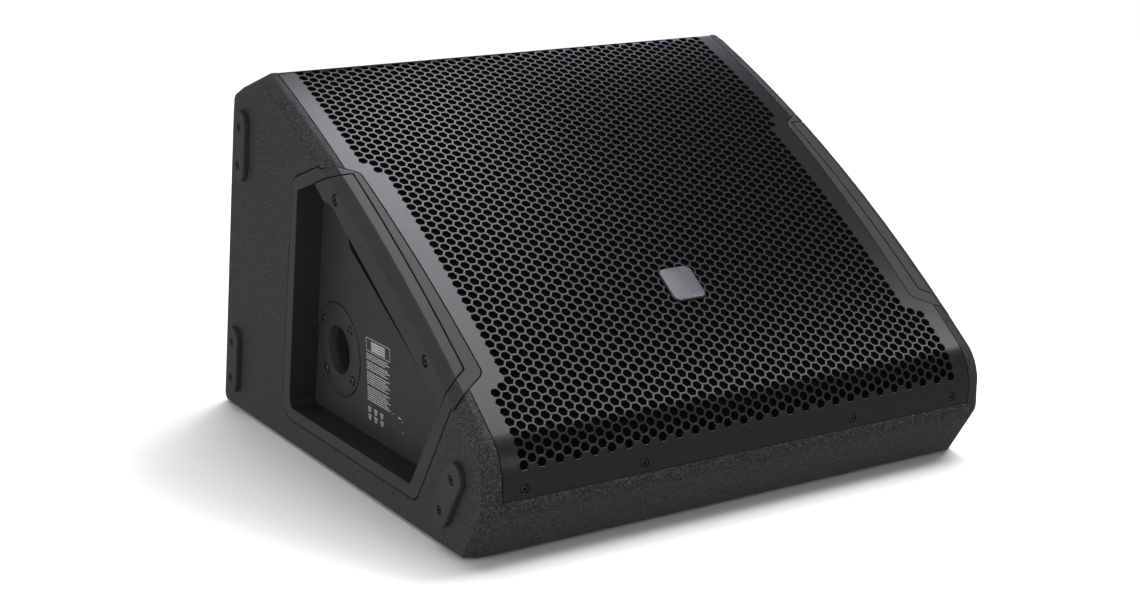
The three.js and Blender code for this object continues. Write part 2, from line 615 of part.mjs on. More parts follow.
function buildWoofer() {
  const driver = onBaffle(0, WOOFER_UP);
  buildBasket(driver);
  addPart('woofer_surround', ring([
    [112, -3.2], [117, -0.5], [122, 4.2], [127, 3.6], [131.3, -1.5], [133.3, -1.5], [133.3, -2.9],
    [130.5, -2.9], [126.5, 2.3], [122, 2.9], [118, -1.7], [112, -4.5],
  ], 40), looks.rubber(), driver);
  addPart('woofer_cone', ring([
    [38.2, -48], [70, -31], [111.5, -6], [111.5, -4.6], [111.5, -4.4], [69, -29.4], [38.2, -46],
  ], 40), looks.paper(), driver);
  addPart('voice_coil', ring([
    [36.7, -90], [37.7, -90], [37.7, -44], [36.7, -44],
  ], 32), looks.copper(), driver);
  addPart('spider', ring([
    [38.1, -60.4], [44, -58.4], [50, -62.4], [56, -58.4], [62, -62.4], [70, -60.4], [70, -61.2],
    [62, -63.4], [56, -59.4], [50, -63.4], [44, -59.4], [38.1, -61.4],
  ], 32), looks.cloth(), driver);
  addPart('top_plate', ring([
    [38.6, -78.3], [68, -78.3], [68, -86], [38.6, -86],
  ], 32), looks.steel(), driver);
  addPart('magnet', ring([
    [46, -86.3], [75, -86.3], [75, -104], [46, -104],
  ], 32), looks.ferrite(), driver);
  addPart('pole_piece', ring([
    [19, -78], [35.6, -78], [35.6, -104.3], [70, -104.3], [70, -112], [19, -112],
  ], 32), looks.steel(), driver);
  addPart('hf_horn', ring([
    [17, -77.7], [19.5, -56], [26, -40], [44, -24], [46, -24], [46, -26], [28, -42.5], [22, -57],
    [20, -77.7],
  ], 32), looks.plastic(), driver);
  addPart('hf_driver', turned([
    [0, -112.3], [38, -112.3], [42, -116], [42, -138], [36, -146], [12, -149], [0, -149],
  ], 32), looks.castBlack(), driver);
}

function buildPorts() {
  [['port_tube_left', -PORT_X], ['port_tube_right', PORT_X]].forEach(([name, x]) => {
    addPart(name, ring([
      [PORT_RADIUS + 4, 0.3], [PORT_RADIUS + 4, 2.3], [PORT_RADIUS, 2.3], [PORT_RADIUS - 2.5, -4],
      [PORT_RADIUS - 2.5, -80], [PORT_RADIUS, -88], [PORT_RADIUS, 0.3],
    ], 28), looks.plastic(), onBaffle(x, PORT_UP));
  });
}

// ---------------------------------------------------------------- side trays, bars and pole socket
function buildSides() {
  const poleHole = joined(
    rodAlongX(22.3, PANEL_X - 5, PANEL_X + 10, POLE_CENTRE, 32),
    rodAlongX(POLE_FLANGE + SEAM, PANEL_X - 5, PANEL_X + FLANGE_SEAT, POLE_CENTRE, 48),
  );
  addSolid('left_tray', sideTray(poleHole), looks.plastic());
  const [[y0, z0], [y1, z1]] = AMP_PLATE;
  const ampHole = block([PANEL_X - 5, y0 + 4, z0 + 4], [PANEL_X + 10, y1 - 4, z1 - 4]);
  addPart('right_tray', mirrored(toGeometry(sideTray(ampHole))), looks.plastic());

  const bar = cutAway(
    gripBar().intersect(envelope),
    ...BAR_SCREWS.map((at) => rodAlongX(2.6, -HALF - 5, -HALF + 40, at)),
    ...BAR_SCREWS.map((at) => rodAlongX(5, -HALF - 5, -HALF + 3, at)),
  );
  addPair('left_handle', 'right_handle', bar, looks.plastic);

  const screw = [
    [0, 0], [1.9, 0], [1.9, 20.7], [4.2, 20.7], [4.2, 22.8], [2, 22.8], [1.6, 21.2], [0, 21.2],
  ];
  const screwTip = HALF - 23.4;
  BAR_SCREWS.forEach(([y, z], i) => {
    const left = axisAlongX(turned(screw, 14), [-screwTip, y, z], -1);
    const right = axisAlongX(turned(screw, 14), [screwTip, y, z], 1);
    addPart(`left_handle_screw_${i + 1}`, left, looks.screw());
    addPart(`right_handle_screw_${i + 1}`, right, looks.screw());
  });

  const inner = -POLE_LENGTH;
  const seated = GAP - FLANGE_SEAT;
  addPart('pole_socket', axisAlongX(turned([
    [0, inner - 3], [21.8, inner - 3], [21.8, seated], [POLE_FLANGE, seated], [POLE_FLANGE, 0],
    [POLE_FLANGE - 0.4, 0.4], [21.5, 0.4], [POLE_BORE, -2.3], [POLE_BORE, inner], [0, inner],
  ], 32), [PANEL_X, ...POLE_CENTRE], -1), looks.plastic());
}

// ---------------------------------------------------------------- amplifier, in the right recess
const PLATE_X = -PANEL_X + GAP;    // inner face of the amplifier plate
const PLATE_THICK = 2.5;
const FACE_X = PLATE_X + PLATE_THICK + GAP;

/** A rounded rectangle in (Y, Z) along X. */
const tile = ([y, z], [width, height], radius, x0, x1) => alongX(roundedPolygon([
  [y - width / 2, z - height / 2, radius], [y + width / 2, z - height / 2, radius],
  [y + width / 2, z + height / 2, radius], [y - width / 2, z + height / 2, radius],
]), x0, x1, { curveSegments: SMALL_STEPS });

function buildAmplifier() {
  const [[y0, z0], [y1, z1]] = AMP_PLATE;
  const middle = [(y0 + y1) / 2, (z0 + z1) / 2];
  const through = [PLATE_X - 3, FACE_X + 3];
  addSolid('amp_plate', cutAway(
    tile(middle, [y1 - y0, z1 - z0], 6, PLATE_X, PLATE_X + PLATE_THICK),
    tile(INLET, [58.6, 24.6], 2, ...through),
    rodAlongX(12, ...through, INPUT_AT, 32),
    rodAlongX(12, ...through, LINK_AT, 32),
    tile([INPUT_AT[0], INPUT_AT[1] + 13.6], [8.6, 5.6], 1, ...through),
    rodAlongX(3.6, ...through, KNOB_AT),
    rodAlongX(4.4, ...through, BUTTON_AT),
    rodAlongX(2.9, ...through, LED_AT),
  ), looks.steelBlack());

  addSolid('mains_inlet', inletModule(), looks.plastic());
  const rocker = polygon([[-3, -7.5], [1.2, -8.4], [0.6, 0], [4.6, 8.4], [-3, 7.5]].map(
    ([depth, y]) => [FACE_X + depth, ROCKER_AT[0] + y]));
  addSolid('power_rocker', alongZ(rocker, ROCKER_AT[1] - 6, ROCKER_AT[1] + 6), looks.plastic());

  addSolid('input_socket', socketShell(INPUT_AT, 9.8, true), looks.plastic());
  const latch = tile([INPUT_AT[0], INPUT_AT[1] + 13.6], [7, 4], 0.8, PLATE_X - 4, FACE_X + 4.5);
  addSolid('input_latch', latch, looks.steel());
  addSolid('link_socket', socketShell(LINK_AT, 9.6, false), looks.plastic());

  addPart('level_knob', axisAlongX(turned([
    [0, -8], [3, -8], [3, 1], [10, 1], [10, 4], [8.6, 5], [8, 14], [7, 15], [0, 15],
  ], 24), [FACE_X, ...KNOB_AT], 1), looks.rubber());
  addPart('mode_button', axisAlongX(turned([
    [0, -7], [3.9, -7], [3.9, 2.4], [3.3, 3], [0, 3],
  ], 16), [FACE_X, ...BUTTON_AT], 1), looks.plastic());
  addPart('status_led', axisAlongX(turned([
    [0, -8], [2.5, -8], [2.5, 0.6], [1.8, 1.6], [0, 2],
  ], 16), [FACE_X, ...LED_AT], 1), looks.lens());

  const rear = BOARD_X - GAP;
  const board = block([BOARD_X, y0 + 6, z0 + 6], [BOARD_X + BOARD_THICK, y1 - 6, z1 - 6]);
  addSolid('amp_board', board, looks.board());
  addSolid('heatsink', alongZ(finOutline(rear, y0 + 10, 56), z0 + 14, z1 - 12), looks.aluminium());
  const core = block([BOARD_X - 30, 34, z0 + 16], [rear, 70, z0 + 56]);
  const coil = rodAlongX(17, BOARD_X - 33, BOARD_X - 2, [52, z0 + 36], 24);
  addSolid('transformer', core.add(coil), looks.ferrite());
}

/** The mains inlet and the switch frame in one moulding. */
function inletModule() {
  const [, z] = INLET;
  const pins = [-6.5, 0, 6.5].map((dy) =>
    block([PLATE_X - 14.5, PIN_AT + dy - 1, z - 2], [PLATE_X - 3, PIN_AT + dy + 1, z + 2]));
  return joined(cutAway(
    tile(INLET, [62, 28], 3, FACE_X, FACE_X + 2).add(tile(INLET, [58, 24], 2, PLATE_X - 20, FACE_X + 0.5)),
    tile([PIN_AT, z], [24, 16], 3, PLATE_X - 14, FACE_X + 5),
    tile(ROCKER_AT, [20, 13], 1, PLATE_X - 14, FACE_X + 5),
  ), ...pins);
}

/** A panel socket for a 3-pole plug: an open barrel, or a cup with standing pins. */
function socketShell(at, bore, withLatch) {
  const barrel = joined(
    tile(at, [26, 31], 3, FACE_X, FACE_X + 2),
    rodAlongX(11.6, PLATE_X - 26, FACE_X + 1, at, 32),
  );
  const hollow = barrel.subtract(rodAlongX(bore, PLATE_X - 13, FACE_X + 5, at, 32));
  if (withLatch) {
    return cutAway(
      hollow,
      rodAlongX(3.3, PLATE_X - 24, FACE_X, at),
      tile([at[0], at[1] + 13.6], [7.8, 4.8], 1, PLATE_X - 6, FACE_X + 5),
    );
  }
  const pins = [90, 210, 330].map((turn) => rodAlongX(1.3, PLATE_X - 14, PLATE_X - 1, [
    at[0] + 5 * Math.cos(degrees(turn)), at[1] + 5 * Math.sin(degrees(turn)),
  ], 10));
  return joined(hollow, ...pins);
}

/** A comb section in (X, Y): a base with fins standing inwards. */
function finOutline(baseX, y0, width) {
  const [base, fin, height, count] = [4, 2, 20, 7];
  const pitch = (width - fin) / (count - 1);
  const root = baseX - base;
  const points = [[baseX, y0], [baseX, y0 + width]];
  for (let i = count - 1; i >= 0; i -= 1) {
    const y = y0 + i * pitch;
    points.push([root - height, y + fin], [root - height, y]);
    if (i > 0) points.push([root, y], [root, y - pitch + fin]);
  }
  return polygon(points);
}

// ---------------------------------------------------------------- feet, lining and leads
function buildFeet() {
  const straight = FOOT_LENGTH / 2 - FOOT_RADIUS;
  const screws = FOOT_SCREW_SPACING / 2;
  SIDE_FEET.forEach(([y, z, turn], i) => {
    const shape = new THREE.Shape();
    shape.absarc(0, straight, FOOT_RADIUS, 0, Math.PI, false);
    shape.absarc(0, -straight, FOOT_RADIUS, Math.PI, 2 * Math.PI, false);
    shape.closePath();
    const upright = frameMatrix([0, 1, 0], [0, 0, 1], [1, 0, 0], [-HALF - FOOT_PROUD + 2, 0, 0]);
    const pad = toSolid(new THREE.ExtrudeGeometry(shape, {
      depth: FOOT_PROUD,
      curveSegments: CURVE_STEPS,
      bevelThickness: 2,
      bevelSize: 2.4,
      bevelOffset: -2.4,
      bevelSegments: 2,
    }).applyMatrix4(upright))
      .intersect(block([-HALF - FOOT_PROUD - 1, -60, -60], [-HALF - GAP, 60, 60]));
    const drilled = cutAway(pad, ...[screws, -screws].map((dz) =>
      rodAlongX(4.2, -HALF - FOOT_PROUD - 4, -HALF - FOOT_PROUD + 3, [0, dz], 16)));
    const place = new THREE.Matrix4().makeTranslation(0, y, z)
      .multiply(new THREE.Matrix4().makeRotationX(degrees(turn)));
    const left = toGeometry(drilled).applyMatrix4(place);
    addPart(`side_foot_left_${i + 1}`, left, looks.rubber());
    addPart(`side_foot_right_${i + 1}`, mirrored(left), looks.rubber());
  });

  BASE_FEET.forEach(([x, y], i) => {
    const pad = turned([
      [0, 1.2], [3.5, 1.2], [4.5, 0], [13.4, 0], [14.5, 0.8], [15, FLOOR_GAP - GAP], [0, FLOOR_GAP - GAP],
    ], 24).rotateX(Math.PI / 2);
    addPart(`base_foot_${i + 1}`, pad.translate(x, y, 0), looks.rubber());
  });
}

function buildLining() {
  const near = leftOf(backPoint, backEdge, BOARD + GAP);
  const far = leftOf(backPoint, backEdge, BOARD + 20);
  const along = ([y, z], distance) => [y + backEdge[0] * distance, z + backEdge[1] * distance];
  addSolid('damping_pad', alongX(polygon([
    along(near, 16), along(near, 238), along(far, 238), along(far, 16),
  ]), -190, 190), looks.foam());
}

/** A two-core lead as one round tube along its own route. */
function lead(name, points) {
  const section = new THREE.Shape();
  section.absarc(0, 0, 2.4, 0, 2 * Math.PI, false);
  const route = new THREE.CatmullRomCurve3(points.map((point) => new THREE.Vector3(...point)));
  addPart(name, toGeometry(toSolid(new THREE.ExtrudeGeometry(section, {
    steps: 24,
    curveSegments: 4,
    extrudePath: route,
  }))), looks.cable());
}

buildCabinet();
buildBaffle();
buildGrille();
buildWoofer();
buildPorts();
buildSides();
buildAmplifier();
buildFeet();
buildLining();
lead('woofer_lead', [[172, 26, 52], [150, 16, 46], [120, -16, 80], [100, -4, 125], [86, 7.3, 147.4]]);
lead('hf_lead', [[172, 74, 70], [150, 82, 62], [100, 76, 62], [62, 60, 74], [45, 46, 83]]);

export default monitor;
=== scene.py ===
import json
import math

import bmesh
import bpy
from mathutils import Matrix, Vector
from mathutils.geometry import delaunay_2d_cdt


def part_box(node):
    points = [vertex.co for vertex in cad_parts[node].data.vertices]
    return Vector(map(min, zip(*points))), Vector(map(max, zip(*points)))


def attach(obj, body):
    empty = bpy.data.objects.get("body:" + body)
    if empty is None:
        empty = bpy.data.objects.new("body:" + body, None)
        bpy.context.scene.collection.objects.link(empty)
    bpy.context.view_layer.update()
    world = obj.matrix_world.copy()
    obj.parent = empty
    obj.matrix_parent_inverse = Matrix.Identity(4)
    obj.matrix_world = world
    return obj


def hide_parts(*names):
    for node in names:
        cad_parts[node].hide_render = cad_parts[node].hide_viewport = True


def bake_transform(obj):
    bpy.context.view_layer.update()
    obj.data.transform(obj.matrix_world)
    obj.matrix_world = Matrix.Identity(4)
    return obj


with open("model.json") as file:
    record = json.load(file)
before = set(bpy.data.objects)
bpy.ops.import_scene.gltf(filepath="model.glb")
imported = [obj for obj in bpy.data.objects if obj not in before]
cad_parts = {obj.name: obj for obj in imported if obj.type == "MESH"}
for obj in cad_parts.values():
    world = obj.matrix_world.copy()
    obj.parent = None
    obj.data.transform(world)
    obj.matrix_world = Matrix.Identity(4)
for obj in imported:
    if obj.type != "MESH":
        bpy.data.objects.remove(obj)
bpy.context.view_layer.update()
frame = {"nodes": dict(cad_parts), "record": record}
MM = 0.001

# ---------------------------------------------------------------- shape of the bowed front, in millimetres
# the bow's circle was fitted by least squares to the perforation's holes in the photograph
BOW_RADIUS = 1405.0
BOW_CENTRE = (664.5, -980.2)
BEND_RADIUS = 43.5
FRONT = -248.0
BADGE_TURN = math.radians(35.6)
MIDDLE_ARC = -110.0
SHEET = 1.6
PANEL_X = -214.0                     # the left recess's panel
FOLD_RADIUS = 5.0
TOP_ARC = -326.0
LIP_LOW = 54.0
HALF_SHEET = 223.2
DRIVER_DEPTH = 32                    # from the bowed front to the driver's and the ports' flanges
CREASE = 24                          # degrees; a CAD edge that turns more stays sharp
bend_turn = math.asin((BOW_CENTRE[0] - FRONT - BEND_RADIUS) / (BOW_RADIUS - BEND_RADIUS))
bend_centre = (
    BOW_CENTRE[0] - (BOW_RADIUS - BEND_RADIUS) * math.sin(bend_turn),
    BOW_CENTRE[1] + (BOW_RADIUS - BEND_RADIUS) * math.cos(bend_turn),
)
ARC_FOLD = TOP_ARC + FOLD_RADIUS
ARC_BEND = (bend_turn - BADGE_TURN) * BOW_RADIUS
ARC_UPRIGHT = ARC_BEND + BEND_RADIUS * (math.pi / 2 - bend_turn)


def turn_at(arc):
    return BADGE_TURN + arc / BOW_RADIUS


def on_front(x, arc, depth=0.0):
    """A point of the bowed front in metres: across, down along the surface from the badge, and under it."""
    if arc < ARC_FOLD:
        turn = turn_at(ARC_FOLD)
        centre = (
            BOW_CENTRE[0] - (BOW_RADIUS - FOLD_RADIUS) * math.sin(turn),
            BOW_CENTRE[1] + (BOW_RADIUS - FOLD_RADIUS) * math.cos(turn),
        )
        swung = min((ARC_FOLD - arc) / FOLD_RADIUS, math.pi / 2)
        straight = max(ARC_FOLD - arc - FOLD_RADIUS * math.pi / 2, 0.0)
        radius = FOLD_RADIUS - depth
        out, back = radius * math.cos(swung) - straight, radius * math.sin(swung)
        y = centre[0] - out * math.sin(turn) + back * math.cos(turn)
        z = centre[1] + out * math.cos(turn) + back * math.sin(turn)
    elif arc <= ARC_BEND:
        turn = turn_at(arc)
        y = BOW_CENTRE[0] - (BOW_RADIUS - depth) * math.sin(turn)
        z = BOW_CENTRE[1] + (BOW_RADIUS - depth) * math.cos(turn)
    else:
        turn = min(bend_turn + (arc - ARC_BEND) / BEND_RADIUS, math.pi / 2)
        y = bend_centre[0] - (BEND_RADIUS - depth) * math.sin(turn)
        z = bend_centre[1] + (BEND_RADIUS - depth) * math.cos(turn) - max(arc - ARC_UPRIGHT, 0.0)
    return Vector((x, y, z)) * MM


middle_turn = turn_at(MIDDLE_ARC)
OUTWARD = Vector((0, -math.sin(middle_turn), math.cos(middle_turn)))
UP_SLOPE = Vector((0, math.cos(middle_turn), math.sin(middle_turn)))
MIDDLE = on_front(0, MIDDLE_ARC)


def arc_of_slope(up):
    """The arc position of a point that lies a distance up the slope's own direction, from the middle."""
    return MIDDLE_ARC - BOW_RADIUS * math.asin(up / BOW_RADIUS)


# ---------------------------------------------------------------- procedural materials
class Look:
    """A Principled material with a few chained helpers; every coordinate is the object's own, in metres."""

    def __init__(self, name, rough, metal=0.0, specular=0.5):
        self.material = bpy.data.materials.new(name)
        self.material.use_nodes = True
        self.tree = self.material.node_tree
        self.shader = self.tree.nodes["Principled BSDF"]
        self.shader.inputs["Roughness"].default_value = rough
        self.shader.inputs["Metallic"].default_value = metal
        self.shader.inputs["Specular IOR Level"].default_value = specular
        self.place = self.tree.nodes.new("ShaderNodeTexCoord").outputs["Object"]
        self.height = None

    def node(self, kind, **settings):
        made = self.tree.nodes.new(kind)
        for key, value in settings.items():
            if hasattr(made, key):
                setattr(made, key, value)
            else:
                made.inputs[key.replace("_", " ")].default_value = value
        return made

    def link(self, a, b):
        self.tree.links.new(a, b)
        return self

    def noise(self, scale, detail=2.0, rough=0.5, stretch=None):
        made = self.node("ShaderNodeTexNoise", Scale=scale, Detail=detail, Roughness=rough)
        place = self.place
        if stretch:
            mapping = self.node("ShaderNodeMapping")
            mapping.inputs["Scale"].default_value = stretch
            self.link(place, mapping.inputs["Vector"])
            place = mapping.outputs["Vector"]
        self.link(place, made.inputs["Vector"])
        return made.outputs["Fac"]

    def ramp(self, value, *stops):
        made = self.node("ShaderNodeValToRGB")
        elements = made.color_ramp.elements
        while len(elements) < len(stops):
            elements.new(0.5)
        for element, (at, color) in zip(elements, stops):
            element.position = at
            element.color = (*color, 1) if isinstance(color, tuple) else (color, color, color, 1)
        self.link(value, made.inputs["Fac"])
        return made.outputs["Color"]

    def color(self, value, *stops):
        return self.link(self.ramp(value, *stops), self.shader.inputs["Base Color"])

    def roughness(self, value, low, high):
        made = self.node("ShaderNodeMapRange")
        made.inputs["To Min"].default_value = low
        made.inputs["To Max"].default_value = high
        self.link(value, made.inputs["Value"])
        return self.link(made.outputs["Result"], self.shader.inputs["Roughness"])

    def bump(self, value, strength, distance_mm):
        made = self.node("ShaderNodeBump", Strength=strength, Distance=distance_mm * MM)
        self.link(value, made.inputs["Height"])
        if self.height:
            self.link(self.height, made.inputs["Normal"])
        self.height = made.outputs["Normal"]
        return self.link(self.height, self.shader.inputs["Normal"])


def paint_look():
    look = Look("textured_paint", 0.62, specular=0.28)
    grain = look.noise(740, 3, 0.6)
    low, middle, high = (0.005, 0.005, 0.006), (0.017, 0.0168, 0.0182), (0.048, 0.047, 0.0505)
    look.color(grain, (0.36, low), (0.52, middle), (0.66, high))
    look.roughness(look.noise(320, 2), 0.5, 0.72)
    look.bump(grain, 0.9, 0.6)
    return look.bump(look.noise(240, 2), 0.4, 0.45).material


def plastic_look(name="satin_plastic", tone=0.019, rough=(0.42, 0.56), tint=(1, 1, 1.02)):
    look = Look(name, rough[0], specular=0.25)
    dark, light = (tuple(tone * share * c for c in tint) for share in (0.92, 1.1))
    look.color(look.noise(60, 3), (0.3, dark), (0.7, light))
    grain = look.noise(2600, 2, 0.6)
    look.roughness(grain, *rough)
    return look.bump(grain, 0.22, 0.06).material


def powder_look():
    look = Look("powder_coat", 0.3, specular=0.3)
    look.color(look.noise(500, 2), (0.3, (0.006, 0.006, 0.007)), (0.7, (0.010, 0.010, 0.0115)))
    skin = look.noise(1500, 2, 0.55)
    look.roughness(skin, 0.27, 0.34)
    return look.bump(skin, 0.1, 0.03).material


def rubber_look():
    tone = (0.019, 0.017, 0.0165)
    look = Look("rubber", 0.75, specular=0.35)
    dust = look.noise(240, 4, 0.7)
    look.color(dust, (0.35, tone), (0.8, tuple(c * 1.5 for c in tone)))
    look.roughness(dust, 0.62, 0.85)
    return look.bump(look.noise(1800, 2), 0.3, 0.06).material


def metal_look(name, light, dark, rough=(0.25, 0.4), stretch=None):
    look = Look(name, rough[0], metal=1.0)
    grain = look.noise(900, 3, 0.6, stretch)
    look.color(grain, (0.3, dark), (0.7, light))
    look.roughness(grain, *rough)
    return look.bump(grain, 0.12, 0.03).material


def black_screw_look():
    look = Look("black_screw", 0.35, metal=0.7)
    wear = look.noise(1400, 3, 0.6)
    look.color(wear, (0.35, (0.016, 0.016, 0.018)), (0.72, (0.06, 0.06, 0.064)))
    look.roughness(wear, 0.22, 0.48)
    return look.bump(wear, 0.2, 0.04).material


def foam_look():
    look = Look("foam", 0.95, specular=0.1)
    cells = look.node("ShaderNodeTexVoronoi", Scale=900.0)
    look.link(look.place, cells.inputs["Vector"])
    look.color(cells.outputs["Distance"], (0.1, 0.001), (0.7, 0.006))
    return look.bump(cells.outputs["Distance"], 0.8, 0.5).material


def cloth_look(name, tone, scale=900, specular=0.2):
    look = Look(name, 0.85, specular=specular)
    weave = look.node("ShaderNodeTexVoronoi", Scale=float(scale), distance="CHEBYCHEV")
    look.link(look.place, weave.inputs["Vector"])
    look.color(weave.outputs["Distance"], (0.1, tuple(c * 0.55 for c in tone)), (0.6, tone))
    look.roughness(weave.outputs["Distance"], 0.7, 0.95)
    return look.bump(weave.outputs["Distance"], 0.5, 0.15).material


def board_look():
    look = Look("circuit_board", 0.35)
    lanes = look.noise(160, 1, 0.4, (1, 3, 0.6))
    look.color(lanes, (0.44, (0.006, 0.07, 0.028)), (0.5, (0.012, 0.12, 0.05)), (0.56, (0.006, 0.075, 0.03)))
    look.roughness(lanes, 0.28, 0.42)
    return look.bump(lanes, 0.3, 0.05).material


def baffle_look():
    """Raw birch ply whose face towards the grille is painted black."""
    look = Look("baffle_ply", 0.6, specular=0.3)
    figure = look.noise(70, 5, 0.6, (0.15, 1, 1))
    dark, plain, light = (0.42, 0.28, 0.15), (0.55, 0.39, 0.22), (0.62, 0.47, 0.29)
    wood = look.ramp(figure, (0.3, dark), (0.55, plain), (0.75, light))
    height = look.node("ShaderNodeVectorMath", operation="DOT_PRODUCT")
    height.inputs[1].default_value = OUTWARD
    look.link(look.place, height.inputs[0])
    front = (MIDDLE - OUTWARD * (DRIVER_DEPTH + 1) * MM).dot(OUTWARD)
    painted = look.node("ShaderNodeMath", operation="GREATER_THAN")
    painted.inputs[1].default_value = front
    look.link(height.outputs["Value"], painted.inputs[0])
    mix = look.node("ShaderNodeMix", data_type="RGBA")
    look.link(painted.outputs["Value"], mix.inputs["Factor"])
    look.link(wood, mix.inputs["A"])
    mix.inputs["B"].default_value = (0.004, 0.004, 0.004, 1)
    look.link(mix.outputs["Result"], look.shader.inputs["Base Color"])
    look.roughness(figure, 0.55, 0.75)
    return look.bump(look.noise(420, 3, 0.6, (0.1, 1, 1)), 0.25, 0.12).material


def badge_look():
    look = Look("satin_badge", 0.36, specular=0.35)
    grain = look.noise(900, 3, 0.6, (1, 0.06, 0.06))
    look.color(grain, (0.3, (0.044, 0.044, 0.048)), (0.7, (0.068, 0.068, 0.073)))
    look.roughness(grain, 0.32, 0.46)
    return look.bump(grain, 0.15, 0.03).material


def floor_look():
    look = Look("studio_floor", 0.9, specular=0.1)
    look.color(look.noise(2, 2), (0.3, 0.80), (0.7, 0.82))
    return look.material


looks = {
    "painted_wood": paint_look(),
    "plywood": baffle_look(),
    "black_steel": powder_look(),
    "foam": foam_look(),
    "moulded_plastic": plastic_look(),
    "rubber": rubber_look(),
    "black_screw": black_screw_look(),
    "steel": metal_look("zinc_plated_steel", (0.62, 0.61, 0.56), (0.45, 0.44, 0.41)),
    "cast_frame": plastic_look("coated_casting", 0.016, (0.45, 0.6)),
    "ferrite": plastic_look("ferrite", 0.022, (0.6, 0.8)),
    "paper": cloth_look("coated_paper", (0.022, 0.022, 0.024), 500),
    "cloth": cloth_look("impregnated_cloth", (0.30, 0.17, 0.06)),
    "copper": metal_look("copper_winding", (0.75, 0.32, 0.14), (0.52, 0.20, 0.08), (0.25, 0.4), (1, 6, 6)),
    "aluminium": metal_look(
        "brushed_aluminium", (0.78, 0.78, 0.80), (0.58, 0.58, 0.60), (0.28, 0.42), (0.1, 1, 3)),
    "circuit_board": board_look(),
    "cable": plastic_look("cable_sheath", 0.05, (0.35, 0.5), (3.0, 0.35, 0.3)),
    "lens": plastic_look("lens", 0.05, (0.08, 0.15), (0.35, 1.6, 0.5)),
}


# ---------------------------------------------------------------- mesh helpers
def new_piece(name, shape, slot, body="cabinet", material=None, replaces=(), smooth=30):
    """A piece from (points, faces) in metres, its faces turned outwards, riding on a CAD body."""
    points, faces = shape
    mesh = bpy.data.meshes.new(name)
    mesh.from_pydata([tuple(point) for point in points], [], faces)
    mesh.validate()
    bm = bmesh.new()
    bm.from_mesh(mesh)
    bmesh.ops.recalc_face_normals(bm, faces=bm.faces)
    bm.to_mesh(mesh)
    bm.free()
    return dressed(name, mesh, slot, body, material, replaces, smooth)


def dressed(name, mesh, slot, body, material, replaces, smooth):
    piece = bpy.data.objects.new(name, mesh)
    bpy.context.scene.collection.objects.link(piece)
    mesh.materials.clear()
    mesh.materials.append(material or looks[slot])
    mesh.polygons.foreach_set("use_smooth", [True] * len(mesh.polygons))
    mesh.set_sharp_from_angle(angle=math.radians(smooth))
    if body:
        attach(piece, body)
    if replaces:
        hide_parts(*replaces)
    return piece


def merged(*shapes):
    """Several (points, faces) as one."""
    points, faces = [], []
    for more_points, more_faces in shapes:
        start = len(points)
        points += more_points
        faces += [[v + start for v in face] for face in more_faces]
    return points, faces


def middle_of(node):
    low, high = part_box(node)
    return (Vector(low) + Vector(high)) / 2


def facing(origin, outward, across=(0, 0, 1)):
    """A matrix whose local Z stands along outward at a point given in metres."""
    z = Vector(outward).normalized()
    x = Vector(across).cross(z)
    x = (Vector((1, 0, 0)) if x.length < 1e-6 else x).normalized()
    y = z.cross(x)
    matrix = Matrix((x, y, z)).transposed().to_4x4()
    matrix.translation = Vector(origin)
    return matrix


def planar(place):
    """Carries flat millimetres and a height to metres, through a matrix."""
    return lambda x, y, height: place @ (Vector((x, y, height)) * MM)


def turned(profile, place, steps, sweep=2 * math.pi, start=0.0):
    """A lathe of a closed (radius, height) profile about local Z; less than a full turn gets end faces."""
    whole = sweep > 6.28
    stations = steps if whole else steps + 1
    rings, points = [], []
    for radius, height in profile:
        if radius < 1e-6:
            rings.append([len(points)] * stations)
            points.append(place @ Vector((0, 0, height * MM)))
            continue
        rings.append(list(range(len(points), len(points) + stations)))
        for i in range(stations):
            angle = start + sweep * i / steps
            points.append(place @ (Vector((radius * math.cos(angle), radius * math.sin(angle), height)) * MM))
    faces = []
    for low, high in zip(rings, [*rings[1:], rings[0]]):
        for i in range(steps):
            j = (i + 1) % stations
            face = list(dict.fromkeys([low[i], low[j], high[j], high[i]]))
            if len(face) > 2:
                faces.append(face)
    if not whole:
        faces.append([ring[0] for ring in rings])
        faces.append([ring[-1] for ring in reversed(rings)])
    return points, faces


def signed_area(loop):
    return sum(a.x * b.y - b.x * a.y for a, b in zip(loop, [*loop[1:], loop[0]])) / 2


def filled(loops, lines):
    """Flat faces inside loops[0] and outside the others: points, faces, each point's place in the loops."""
    points, rows = [], []
    for loop in loops:
        row = list(range(len(points), len(points) + len(loop)))
        points += loop
        rows.append(row if signed_area(loop) > 0 else row[::-1])
    edges = []
    for line in lines:
        edges.append((len(points), len(points) + 1))
        points += [Vector(end) for end in line]
    flat, _, faces, from_points, _, from_rows = delaunay_2d_cdt(points, edges, rows, 1, 1e-4)
    kept = [face for face, row in zip(faces, from_rows) if list(row) == [0]]
    return flat, kept, [min(source, default=len(points)) for source in from_points]


def rim_of(faces):
    """Directed edges that only one face uses."""
    seen = {(a, b) for face in faces for a, b in zip(face, [*face[1:], face[0]])}
    return [(a, b) for a, b in seen if (b, a) not in seen]


